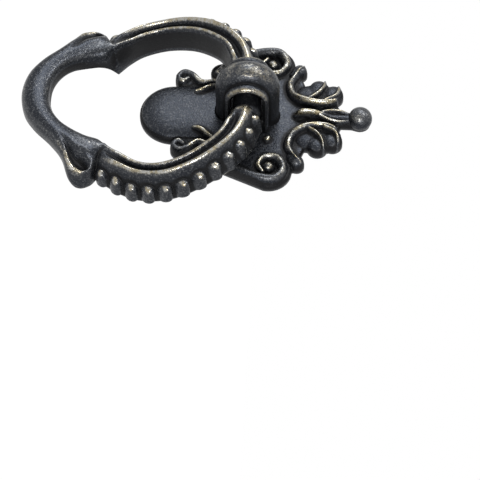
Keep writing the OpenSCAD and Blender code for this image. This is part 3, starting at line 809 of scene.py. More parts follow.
@dataclass
class EyePost:
    """The arched eye that carries the ring, and its threaded post behind the plate."""

    barrel_r: float = 5.59
    barrel_round: float = 2.4
    axis_h: float = 9.7
    collar_r: float = 3.8
    collar_round: float = 0.75
    collar_x: float = 3.9
    neck: tuple[float, float, float] = (2.42, 0.22, 0.22)  # place, half width and depth
    tunnel_r: float = 2.9
    tunnel_round: float = 0.35
    floor_h: float = 4.7
    foot_sunk: float = 0.25
    foot_flare: tuple[float, float] = (0.3, 0.7)  # how far out, and from what height down
    plate_t: float = 1.6
    post_r: float = 3.4
    post_l: float = 4.8
    tap_r: float = 1.65
    tap_depth: float = 8.0
    tap_bevel: float = 0.45
    post_bevel: float = 0.3
    pitch: float = 0.7
    thread: float = 0.2
    band_cols: int = 121
    tunnel_cols: int = 24
    leg_rows: int = 39
    turn_rows: int = 121
    bore_rows: int = 110
    post_sides: int = 96
    floor_n: int = 25

    def band(self, x: Array) -> Array:
        """Radius of the rounded band: barrel less rounding, plus the root of rounding^2 - x^2."""
        round_part = np.sqrt(np.clip(self.barrel_round ** 2 - x ** 2, 0, None))
        return np.where(np.abs(x) < self.barrel_round, self.barrel_r - self.barrel_round + round_part, 0)

    def profile(self) -> Array:
        """Closed half section of the arch: band, collars, end faces and tunnel wall.

        The collars round off by a quarter circle, and a bell-shaped neck parts them from the band.

        Returns:
            Rows of (x, radius).
        """
        x = np.linspace(-self.collar_x, self.collar_x, self.band_cols)
        edge = np.clip((np.abs(x) - self.collar_x + self.collar_round) / self.collar_round, 0, 1)
        collar = self.collar_r - self.collar_round * (1 - np.sqrt(1 - edge ** 2))
        at, half, deep = self.neck
        r = soft_max(self.band(x), collar, 0.1) - deep * bell(np.abs(x), at, half)
        mouth = self.tunnel_round
        a = np.linspace(0, np.pi / 2, 7)[1:]
        right = np.stack([self.collar_x - mouth + mouth * np.cos(a),
                          self.tunnel_r + mouth - mouth * np.sin(a)], 1)
        wall_x = np.linspace(self.collar_x - mouth, -self.collar_x + mouth, self.tunnel_cols + 2)[1:-1]
        inside = np.stack([wall_x, np.full(self.tunnel_cols, self.tunnel_r)], 1)
        other_side = np.array([-1.0, 1.0])
        face = np.array([[self.collar_x, self.tunnel_r + mouth]])
        return np.vstack([np.stack([x, r], 1), face, right, inside, right[::-1] * other_side,
                          face * other_side])

    def arch(self) -> Surface:
        """The section carried up one leg, over the arch and down the other leg.

        On a leg the section only moves up. Over the arch it turns about the tunnel's line, to
        (side times radius, height of the line + up times radius). Each foot flares by a square.

        Returns:
            The arch with its wear and darkness.
        """
        prof = self.profile()[None, :, :]
        half_x, radius = prof[..., 0], prof[..., 1]
        leg = np.linspace(0, 1, self.leg_rows + 1)[:-1]
        turn = np.radians(np.linspace(-90, 90, self.turn_rows))
        low = self.plate_t - self.foot_sunk
        still = np.zeros(self.leg_rows)
        side = np.concatenate([still - 1, np.sin(turn), still + 1])
        lift = np.concatenate([mix(low, self.axis_h, leg) - self.axis_h, np.zeros(self.turn_rows),
                               mix(low, self.axis_h, leg[::-1]) - self.axis_h])
        up = np.concatenate([still, np.cos(turn), still])
        above = lift + self.axis_h - self.plate_t
        out, start = self.foot_flare
        flare = out * np.clip(1 - above / start, 0, 1) ** 2 * (lift < 0)
        r = radius + flare[:, None] * (radius > self.tunnel_r + 0.3)
        h = self.axis_h + lift[:, None] + up[:, None] * r
        x = np.repeat(half_x, len(side), 0)
        points = to_world(x, side[:, None] * r, h)

        stand = relief(points, 3.0, 3.0)
        foot = ease((1.6 - (h - self.plate_t)) / 1.4)
        inside = (radius < self.tunnel_r + 0.12) + 0 * h
        top = ease((h - self.axis_h + 0.5) / 4)
        band = np.exp(-(np.abs(x) / 2.15) ** 6) * (radius > self.collar_r + 0.5)
        rim = bell(np.abs(x), self.collar_x - 0.25, 0.5)
        wear = (0.58 * band + 0.92 * rim) * mix(0.3, 1.0, top) * (1 - 0.6 * foot) * (1 - 0.8 * inside)
        valley = bell(np.abs(x), 2.45, 0.3) * (1 - inside)
        # Painted shade: darker down the legs towards the plate, at the foot where the eye meets the
        # plate, and inside the tunnel. The valley keeps dark wash.
        shaded_legs = 0.5 * ease((self.axis_h + 0.5 - h) / 3)
        patina_and_shade = np.clip(0.85 * valley - stand / 0.12 + shaded_legs + 0.6 * foot + 0.85 * inside, 0, 1)
        return Surface.tube(points, wear, patina_and_shade, 0, 1)

    def post(self) -> Surface:
        """The post: outside wall, rounded rim, bevelled mouth, thread and blind end.

        A profile of (radius, height) is turned about the post's line. The thread adds to the
        radius a zigzag of (height / pitch - turns), which is deepest inside the mouth.

        Returns:
            The post as one surface.
        """
        tip = -self.post_l
        depth = tip + self.tap_depth
        bevel, edge = self.post_bevel, self.tap_r + self.tap_bevel
        a = np.linspace(0, np.pi / 2, 7)
        wall = [(1e-4, self.plate_t), (self.post_r, self.plate_t), (self.post_r, 0.2),
                (self.post_r, tip + bevel + 0.5)]
        rim = np.stack([self.post_r - bevel + bevel * np.cos(a), tip + bevel - bevel * np.sin(a)], 1)
        face = [(self.post_r - bevel - 0.22, tip), (edge + 0.3, tip)]
        mouth = [(edge + 0.12, tip), (edge, tip + 0.05), (self.tap_r + 0.1, tip + self.tap_bevel)]
        bore = np.stack([np.full(self.bore_rows, self.tap_r + 0.06),
                         np.linspace(tip + self.tap_bevel + 0.05, depth - 0.6, self.bore_rows)], 1)
        end = [(self.tap_r, depth - 0.3), (self.tap_r * 0.5, depth - 0.02), (1e-4, depth)]

        in_bore = np.linspace(0, 1, self.bore_rows)
        after = len(bore) + len(end) - 2
        wave = np.concatenate([np.zeros(len(wall) + len(rim) + len(face) + len(mouth)),
                               self.thread * ease(8 * in_bore), np.zeros(len(end))])
        wear = np.concatenate([np.zeros(len(wall)), [0], np.full(len(rim) - 1, 0.8),
                               np.full(len(face), 0.1), np.full(len(mouth), 0.8),
                               0.6 * (1 - in_bore) ** 2, np.zeros(len(end))])
        # Painted shade: darker at the post's root by the plate, and ever darker deeper down the bore.
        patina_and_shade = np.concatenate([[0, 0.6, 0.6, 0], np.zeros(len(rim) + len(face) + len(mouth) + 2),
                                 np.clip(np.linspace(0.1, 1.5, after), 0, 1)])

        rows = np.vstack([wall, rim, face, mouth, bore, end])
        turn = np.linspace(0, 1, self.post_sides, endpoint=False)[None, :]
        phase = rows[:, 1:] / self.pitch - turn
        zigzag = (1 - 2 * np.abs(2 * (phase - np.floor(phase)) - 1)) * 0.5
        r = rows[:, :1] + wave[:, None] * zigzag
        angle = 2 * np.pi * turn
        points = to_world(r * np.cos(angle), r * np.sin(angle), rows[:, 1:] + 0 * angle)
        return Surface.turned(points, np.repeat(wear, self.post_sides),
                              np.repeat(patina_and_shade, self.post_sides))

    def floor_block(self) -> Surface:
        """The solid under the tunnel: a low block, whose top falls by a square at its edges.

        Returns:
            The block, with its foot in the plate.
        """
        n = self.floor_n
        u, v = np.meshgrid(np.linspace(-1, 1, n), np.linspace(-1, 1, n), indexing="ij")
        half_x, half_z = self.collar_x - 0.25, self.tunnel_r + 0.2
        edge = np.clip((np.abs(u) - 0.9) / 0.1, 0, 1)
        top = to_world(u * half_x, v * half_z, self.floor_h - 0.05 - 0.25 * edge ** 2)
        low = to_world(u * half_x, v * half_z, np.full(u.shape, self.plate_t - 0.3))
        quads = grid_faces(n, n, wrap_cols=False, flip=True)
        number = np.arange(n * n).reshape(n, n)
        loop = np.concatenate([number[:-1, 0], number[-1, :-1], number[:0:-1, -1], number[0, :0:-1]])
        nxt = np.roll(loop, -1)
        walls = np.stack([loop, nxt, nxt + n * n, loop + n * n], -1)[:, ::-1]
        points = np.vstack([top.reshape(-1, 3), low.reshape(-1, 3)])
        # Painted shade: the block under the tunnel is darkened by 0.9 all over.
        return Surface(points, np.vstack([quads, quads[:, ::-1] + n * n, walls]), NO_TRIS,
                       np.zeros(2 * n * n), np.full(2 * n * n, 0.9)).outward()

    def build(self, mat: bpy.types.Material) -> None:
        """Makes the eye with its post and dresses it."""
        dress(self.surface(), "cast_eye_post", "mount", "eye_post", mat)

    def surface(self) -> Surface:
        """Arch, floor and post together."""
        return self.arch().joined(self.floor_block()).joined(self.post())


# ---------------------------------------------------------------- backplate

@dataclass
class Backplate:
    """The leafy backplate: a height over the door for each point inside its outline.

    Places are given as (x, up), and rounds as (x, up, radius), for the right side.
    """

    t: float = 1.6
    step: float = 0.125
    extent: tuple[float, float, float] = (15.9, -19.6, 22.2)  # the grid's half width, foot and top
    keep: float = 0.35  # how much of a step a cell may stand past the outline
    edge_round: float = 0.55
    edge_fall: float = 0.75
    back_edge: tuple[float, float] = (0.12, 0.14)
    tongue_r: float = 6.1
    tongue_drop: float = 13.0
    tongue_rise: float = 1.1
    tongue_round: float = 4.0
    tongue_fillet: float = 0.18
    scroll: tuple[float, float, float] = (11.3, 4.1, 4.1)
    scroll_ball: float = 1.05
    scroll_groove: tuple[float, float, float] = (1.35, 0.5, 0.45)  # radius, half width, depth
    bud: tuple[float, float, float] = (10.1, 9.0, 1.35)
    foot: tuple[float, float, float] = (7.6, -11.4, 1.85)
    leaf_low: tuple[float, float, float] = (6.2, 12.5, 1.8)
    leaf_high: tuple[float, float, float] = (5.1, 15.1, 1.8)
    leaf_rise: tuple[float, float] = (0.95, 0.7)  # of the lobes, and of the web between them
    leaf_fillet: float = 0.3
    foot_rise: float = 0.55
    foot_fillet: float = 0.2
    ball_fillet: float = 0.12
    ridge_fillet: float = 0.16
    ridge_power: float = 0.62
    waist: tuple[float, float] = (7.3, -8.2)
    tail: tuple[float, float, float] = (9.6, -5.0, 2.0)
    ball: tuple[float, float] = (19.9, 2.13)
    neck: float = 1.5
    notch: float = 0.45
    pip: tuple[float, float, float] = (5.3, 3.7, 0.6)
    pip_lift: float = 0.35
    pip_fillet: float = 0.08
    seat_play: tuple[float, float] = (0.1, 0.12)
    # Finish: the close and the wide surroundings in grid steps, then what stands out of each is
    # rubbed from a start over a rise, by a share, and what lies below it is dark over a depth.
    around: tuple[float, float] = (3.0, 9.0)
    rub_close: tuple[float, float, float] = (0.02, 0.28, 1.0)
    rub_wide: tuple[float, float, float] = (0.1, 0.8, 0.36)
    dark: tuple[float, float] = (0.17, 0.9)
    spots: tuple[float, float] = (0.55, 0.4)  # half widths of the rub on scroll balls and pips
    wall_marks: tuple[float, float] = (0.4, 0.1)  # wear and darkness of the side wall
    back_rub: tuple[float, float] = (1.05, 0.3)  # wear of the back's edge, and its width
    ridges: list = field(default_factory=list)

    def __post_init__(self) -> None:
        """Lists the raised ridges: rows of x, up, half width and rise."""
        sx, sz, sr = self.scroll
        tx, tz, _ = self.tail
        fx, fz, _ = self.foot
        bx, bz, _ = self.bud
        wx, wz = self.waist
        share = np.linspace(0, 1, 7)
        angle = np.radians(mix(-35, 320, share))
        r = mix(sr - 1.0, 1.55, share)
        turn = np.stack([sx + r * np.cos(angle), sz + r * np.sin(angle),
                         mix(1.0, 0.45, share), mix(1.5, 0.9, share)], axis=1)
        scroll = [[tx - .4, tz - .6, .7, .8], [tx + 1, tz + 1.2, 1, 1.5],
                  [sx + 1.4, sz - sr - .8, 1, 1.5], *turn.tolist()]
        leaf = [[bx - 1, bz - .4, .6, 1], [7, 7.4, .75, 1.2], [4.6, 7.9, .8, 1.4], [3.1, 9.8, .8, 1.9],
                [2.5, 12.6, .75, 1.9], [2.9, 15, .6, 1.7], [4.1, 16.3, .45, 1]]
        vein_low = [[3.1, 10.6, .5, 1.7], [4.5, 12.4, .45, 1.9], [6, 13.3, .4, 1.6], [7.7, 13.6, .3, .9]]
        vein_high = [[2.9, 13.6, .5, 1.8], [3.9, 15.4, .45, 1.9], [5.4, 16, .4, 1.5], [6.7, 16, .3, .8]]
        bud = [[bx + .5, bz + .7, .3, 1.2], [bx - .3, bz - .1, .35, 1.5], [bx - 1.2, bz - .7, .4, 1.3],
               [bx - 2.2, bz - 1.3, .4, 1.1]]
        foot = [[fx - .3, fz + .5, .6, 1.1], [fx - .9, fz - .4, .7, 1.2], [fx - .1, fz - 1.2, .75, 1.2],
                [fx + 1, fz - .3, .75, 1.3], [fx + .5, fz + 1.2, .75, 1.3], [wx - .7, wz - .2, .6, 1.2],
                [wx - .2, wz + 2.2, .5, .8]]
        barb = [[4, -9.3, .4, 1.6], [4.3, -8.2, .6, 1.9], [5.2, -6.8, .6, 1.7], [6.2, -5.2, .4, .9]]
        spine = [[0, 8.4, .35, .8], [0, 9.4, .7, 2.2], [0, 11.6, .6, 2.2], [0, 13.2, .6, 1.5],
                 [0, 15.4, .7, .6], [0, 18.9, .9, .5]]
        vee = [[.3, 12.8, .35, 1.4], [.95, 14.4, .38, 1.2], [1.2, 16.2, .34, .9], [.8, 17.9, .28, .5]]
        self.ridges = [np.array(knots, float) for knots in
                       (scroll, leaf, vein_low, vein_high, bud, foot, barb, spine, vee)]

    def outline(self, x: Array, z: Array) -> Array:
        """Distance to the plate's outline on the right side: the least of its parts' distances.

        Args:
            x: Across, for each point.
            z: Up, for each point.

        Returns:
            The distance, below zero inside, with a fillet in each notch between two parts.
        """
        (sx, sz, sr), (tx, tz, tr), (fx, fz, fr) = self.scroll, self.tail, self.foot
        wx, wz = self.waist
        top, ball_r = self.ball
        corners = [(-3, wz), (wx, wz), (tx, tz + 1), (sx, sz), self.bud[:2], (6.9, 10.2),
                   self.leaf_low[:2], self.leaf_high[:2], (self.neck, 16.6), (self.neck, top), (-3, top)]
        wing = to_polygon(x, z, np.array(corners, float))
        tongue = to_bar(x, z, (0, -self.tongue_drop, self.tongue_r), (0, wz, self.tongue_r))
        d = soft_min(wing, tongue, self.notch)
        for part in (to_bar(x, z, (sx, sz, sr), (tx, tz, tr)), to_round(x, z, self.bud),
                     to_round(x, z, self.leaf_low), to_round(x, z, self.leaf_high),
                     to_bar(x, z, (fx, fz, fr), (fx - fr, wz, fr)),
                     to_round(x, z, (0, top, ball_r - 0.3))):
            d = soft_min(d, part, self.notch)
        return d

    def ridge_height(self, x: Array, z: Array, knots: Array) -> Array:
        """Rise of one ridge: rise times (1 - (distance / half width)^2) to the ridges' power.

        Args:
            x: Across, for each point.
            z: Up, for each point.
            knots: Rows of x, up, half width and rise.

        Returns:
            The rise at each point, 0 beside the ridge.
        """
        last, steps = len(knots) - 1, 5
        path = curve(knots, np.linspace(0, last, last * steps + 1))
        best = np.zeros(x.shape)
        for start, end in zip(path[:-1], path[1:]):
            share, away = nearest(x, z, start, end)
            u = away / mix(start[2], end[2], share)
            rise = mix(start[3], end[3], share) * np.clip(1 - u * u, 0, 1) ** self.ridge_power
            best = np.maximum(best, rise)
        return best

    def with_pad(self, h: Array, u: Array, rise: float, fillet: float, bulge: float = 2.0,
                 power: float = 0.5) -> Array:
        """The front with a domed pad on it: rise times (1 - u^bulge)^power, where u is below 1.

        Args:
            h: Height of the front so far.
            u: Distance from the pad's middle, as a share of its size.
            rise: Height of the pad over the plate.
            fillet: Fillet round its foot.
            bulge: How flat its top is.
            power: How steep its side is.

        Returns:
            The new height of the front.
        """
        pad = self.t + rise * np.clip(1 - u ** bulge, 0, 1) ** power
        return soft_max(h, np.where(u < 1, pad, 0), fillet)

    def with_ball(self, h: Array, x: Array, z: Array, ball: tuple[float, float, float],
                  lift: float, fillet: float) -> Array:
        """The front with part of a ball on it: the root of radius^2 - distance^2.

        Args:
            h: Height of the front so far.
            x: Across, for each point.
            z: Up, for each point.
            ball: Place and radius.
            lift: Height of the ball's middle over the plate's front.
            fillet: Fillet round its foot.

        Returns:
            The new height of the front.
        """
        cx, cz, r = ball
        q = r * r - (x - cx) ** 2 - (z - cz) ** 2
        return soft_max(h, np.where(q > 0, self.t + lift + np.sqrt(np.clip(q, 0, None)), 0), fillet)

    def rise(self, x: Array, z: Array, d: Array) -> Array:
        """Height of the front over the door: body, tongue, scooped leaves, then ridges and knobs.

        The edge and the tongue's side are quarter circles.

        Args:
            x: Across, for each point.
            z: Up, for each point.
            d: Distance to the outline.

        Returns:
            The height at each point.
        """
        h = self.t - self.edge_fall * (1 - quarter(-d / self.edge_round))
        reach = self.tongue_r - 0.4
        u = np.hypot(x, z - np.clip(z, -self.tongue_drop, self.waist[1] + 3)) / reach
        tongue = self.t + self.tongue_rise * quarter((1 - u) * reach / self.tongue_round)
        h = soft_max(h, np.where(u < 1, tongue, 0), self.tongue_fillet)
        lobes, web = self.leaf_rise
        for cx, cz, r in (self.leaf_low, self.leaf_high):
            u = np.hypot(x - cx, z - cz) / (r + 0.1)
            h = self.with_pad(h, u, lobes, self.leaf_fillet, bulge=2.2, power=0.6)
        lx, lz, _ = self.leaf_low
        u = np.hypot((x - lx + 1.6) / 2.6, (z - lz + 0.6) / 3.4)
        h = self.with_pad(h, u, web, self.leaf_fillet)
        bx, bz, br = self.bud
        sx, sz, _ = self.scroll
        for ball in ((bx, bz, br - 0.1), (bx - 0.5, bz - 0.5, br - 0.25), (bx - 1, bz - 1, br - 0.5),
                     (sx, sz, self.scroll_ball)):
            h = self.with_ball(h, x, z, ball, 0, self.ball_fillet)
        fx, fz, fr = self.foot
        h = self.with_pad(h, np.hypot(x - fx, z - fz) / fr, self.foot_rise, self.foot_fillet)
        at, half, deep = self.scroll_groove
        h = h - deep * bell(np.hypot(x - sx, z - sz), at, half)
        h = self.with_ball(h, x, z, self.pip, self.pip_lift, self.pip_fillet)
        for knots in self.ridges:
            r = self.ridge_height(x, z, knots)
            h = soft_max(h, np.where(r > 0, self.t + r, 0), self.ridge_fillet)
        return h

    def seat(self, x: Array, z: Array) -> Array:
        """Where the eye's foot covers the plate: inside its band and collars, with a little play.

        Args:
            x: Across, for each point.
            z: Up, for each point.

        Returns:
            True for each point under the foot.
        """
        eye = EyePost()
        play_x, play_z = self.seat_play
        reach = np.maximum(eye.band(np.abs(x)), eye.collar_r)
        return (np.abs(x) < eye.collar_x + play_x) & (np.abs(z) < reach + play_z)

    def marks(self, x: Array, z: Array, d: Array, h: Array) -> tuple[Array, Array]:
        """Wear and darkness of the front, from how far it stands over its surroundings.

        The surroundings are the heights blurred inside the outline, once close and once wide.
        The balls in the scrolls and the pips are rubbed by a bell.

        Args:
            x: Across, for each point.
            z: Up, for each point.
            d: Distance to the outline.
            h: Height of the front.

        Returns:
            Wear and darkness at each point.
        """
        inside = (d < 0) * 1.0

        def around(spread: float) -> Array:
            """Heights averaged over the plate only, by dividing through the blurred inside."""
            total, share = (blur(blur(a, spread, 0, False), spread, 1, False)
                            for a in (inside * h, inside))
            return total / (share + 1e-3)

        close, far = (h - around(spread) for spread in self.around)
        wear = sum(share * np.clip((stand - start) / rise, 0, 1) for stand, (start, rise, share)
                   in ((close, self.rub_close), (far, self.rub_wide)))
        patina_and_shade = np.clip(-close / self.dark[0] - np.minimum(far, 0) / self.dark[1], 0, 1)
        for (cx, cz, _), half in zip((self.scroll, self.pip), self.spots):
            spot = bell(np.hypot(np.abs(x) - cx, z - cz), 0, half)
            wear = np.maximum(wear, spot)
            patina_and_shade = patina_and_shade * (1 - spot)
        return wear, patina_and_shade

    def build(self, mat: bpy.types.Material) -> None:
        """Makes the plate with its ball finial and dresses it."""
        dress(self.surface(), "cast_backplate", "mount", "backplate", mat)

    def surface(self) -> Surface:
        """Front, side wall and flat back, cut to the outline, with the ball finial.

        The grid's points next to the outline are moved onto it, each by its distance along the
        distance's own slope. Where a cell has no neighbour, a wall goes down to the back.

        Returns:
            The plate and its ball as one surface.
        """
        half_x, foot, top = self.extent
        x, z = np.meshgrid(np.arange(0, half_x, self.step), np.arange(foot, top, self.step),
                           indexing="ij")
        d = self.outline(x, z)
        h = mirrored(self.rise(x, z, d))
        x, z, d = mirrored(x, -1), mirrored(z), mirrored(d)
        wear, patina_and_shade = self.marks(x, z, d, h)
        h = np.where(self.seat(x, z), np.minimum(h, self.t), h)

        slope_x, slope_z = np.gradient(d, self.step)
        length = np.hypot(slope_x, slope_z) + 1e-9
        out_x, out_z = slope_x / length, slope_z / length
        keep = d < self.keep * self.step
        cell = keep[:-1, :-1] & keep[1:, :-1] & keep[1:, 1:] & keep[:-1, 1:]
        cells_by_point = np.zeros(d.shape, int)
        for a in (slice(0, -1), slice(1, None)):
            for b in (slice(0, -1), slice(1, None)):
                cells_by_point[a, b] += cell
        used = cells_by_point > 0
        rim = used & (cells_by_point < 4)
        count = int(used.sum())
        number = -np.ones(d.shape, int)
        number[used] = np.arange(count)

        def layer(inset: float, height: Array) -> Array:
            """World points of the used grid points, with the rim on the outline less the inset."""
            shift = np.where(rim, d + inset, 0)
            return to_world((x - out_x * shift)[used], (z - out_z * shift)[used], height[used])

        inset, low = self.back_edge
        points = np.vstack([layer(0.0, np.where(rim, np.minimum(h, self.t - self.edge_round), h)),
                            layer(0.0, np.full(d.shape, low)), layer(inset, np.zeros(d.shape))])
        i, j = np.nonzero(cell)
        front = np.stack([number[i, j], number[i + 1, j], number[i + 1, j + 1], number[i, j + 1]], -1)
        faces = [front, front[:, ::-1] + 2 * count]
        padded = np.pad(cell, 1)
        for di, dj, a, b in ((0, -1, (0, 0), (1, 0)), (1, 0, (1, 0), (1, 1)),
                             (0, 1, (1, 1), (0, 1)), (-1, 0, (0, 1), (0, 0))):
            open_edge = ~padded[i + 1 + di, j + 1 + dj]
            p = number[i + a[0], j + a[1]][open_edge]
            q = number[i + b[0], j + b[1]][open_edge]
            for level in (0, count):
                faces.append(np.stack([q, p, p + count, q + count], -1) + level)
        quads = np.vstack(faces)

        wall_wear, wall_dark = self.wall_marks
        rub, width = self.back_rub
        near_edge = fade(d, -width, width)[used]
        wear = np.concatenate([wear[used], np.full(count, wall_wear), rub * near_edge])
        patina_and_shade = np.concatenate([patina_and_shade[used], np.full(count, wall_dark), np.zeros(count)])
        in_faces = np.unique(quads)
        renumber = -np.ones(len(points), int)
        renumber[in_faces] = np.arange(len(in_faces))
        plate = Surface(points[in_faces], renumber[quads], NO_TRIS, wear[in_faces], patina_and_shade[in_faces])
        return plate.outward().joined(self._ball())

    def _ball(self) -> Surface:
        """The ball finial, flattened where it meets the door plane.

        A point is the radius times (sin polar cos around, sin polar sin around, cos polar).

        Returns:
            The ball.
        """
        up, r = self.ball
        polar = np.linspace(0, np.pi, 49)[:, None]
        around = np.linspace(0, 2 * np.pi, ROUND_SIDES, endpoint=False)[None, :]
        z = up + r * np.sin(polar) * np.sin(around)
        h = np.maximum(self.t + r * np.cos(polar) + 0 * around, 0.02)
        wear = 0.72 * ease((h - self.t - 0.3) / 1.2)
        # Painted shade: the ball darkens on its lower half towards its foot.
        patina_and_shade = 0.6 * ease((1.2 - (h - self.t)) / 1.6) * ease((up - z - 0.3) / 1.5)
        return Surface.turned(to_world(r * np.sin(polar) * np.cos(around), z, h), wear, patina_and_shade)


# ---------------------------------------------------------------- finishes

class Side(Enum):
    """Which casting a finish is for."""

    PLATE = "plate"
    EYE = "eye"
    RING = "ring"


@dataclass(frozen=True)
class Finish:
    """The aged wash of one casting, which also paints shade into its colour."""

    side: Side
    rubbed: Colour
    bright: Colour
    rub_reach: float
    fleck_share: float
    wash: Colour = (0.02, 0.0225, 0.028)
    # deep: the near-black that dark wash in hollows and painted shade go to.
    deep: Colour = (0.003, 0.003, 0.0035)
    fleck: Colour = (0.11, 0.113, 0.118)
    grain: float = 0.7
    grain_depth: float = 0.00012
    sheen: float = 0.2

    def material(self, effect: bpy.types.NodeTree) -> bpy.types.Material:
        """The material: the shared effect, fed by the piece's wear and its darkness from dark wash and
        painted shade, into one shader.

        Args:
            effect: The shared node group.

        Returns:
            The new material.
        """
        mat = bpy.data.materials.new(f"aged_{self.side.value}")
        mat.use_nodes = True
        tree = mat.node_tree
        tree.nodes.clear()
        link = tree.links.new
        shader = new_node(tree, "ShaderNodeBsdfPrincipled", {"Specular IOR Level": self.sheen})
        bump = new_node(tree, "ShaderNodeBump", {"Strength": self.grain, "Distance": self.grain_depth})
        group = tree.nodes.new("ShaderNodeGroup")
        group.node_tree = effect
        for name, value in (("Wash", self.wash), ("Rubbed", self.rubbed), ("Deep", self.deep),
                            ("Fleck", self.fleck), ("Bright", self.bright)):
            group.inputs[name].default_value = (*value, 1)
        group.inputs["Rub Reach"].default_value = self.rub_reach
        group.inputs["Fleck Share"].default_value = self.fleck_share
        for name, label in (("Wear", "wear"), ("Patina And Shade", "patina_and_shade")):
            node = tree.nodes.new("ShaderNodeAttribute")
            node.attribute_name = label
            link(node.outputs["Fac"], group.inputs[name])
        link(tree.nodes.new("ShaderNodeTexCoord").outputs["Object"], group.inputs["Place"])
        for name in ("Base Color", "Roughness", "Metallic"):
            link(group.outputs[name], shader.inputs[name])
        link(group.outputs["Height"], bump.inputs["Height"])
        link(bump.outputs["Normal"], shader.inputs["Normal"])
        link(shader.outputs["BSDF"], tree.nodes.new("ShaderNodeOutputMaterial").inputs["Surface"])
        return mat


def new_node(tree: bpy.types.NodeTree, kind: str, values: dict[str, object]) -> bpy.types.Node:
    """A new node with values set on its inputs.

    Args:
        tree: The node tree it goes into.
        kind: Its type.
        values: A value for each named input.

    Returns:
        The node.
    """
    node = tree.nodes.new(kind)
    for name, value in values.items():
        node.inputs[name].default_value = value
    return node


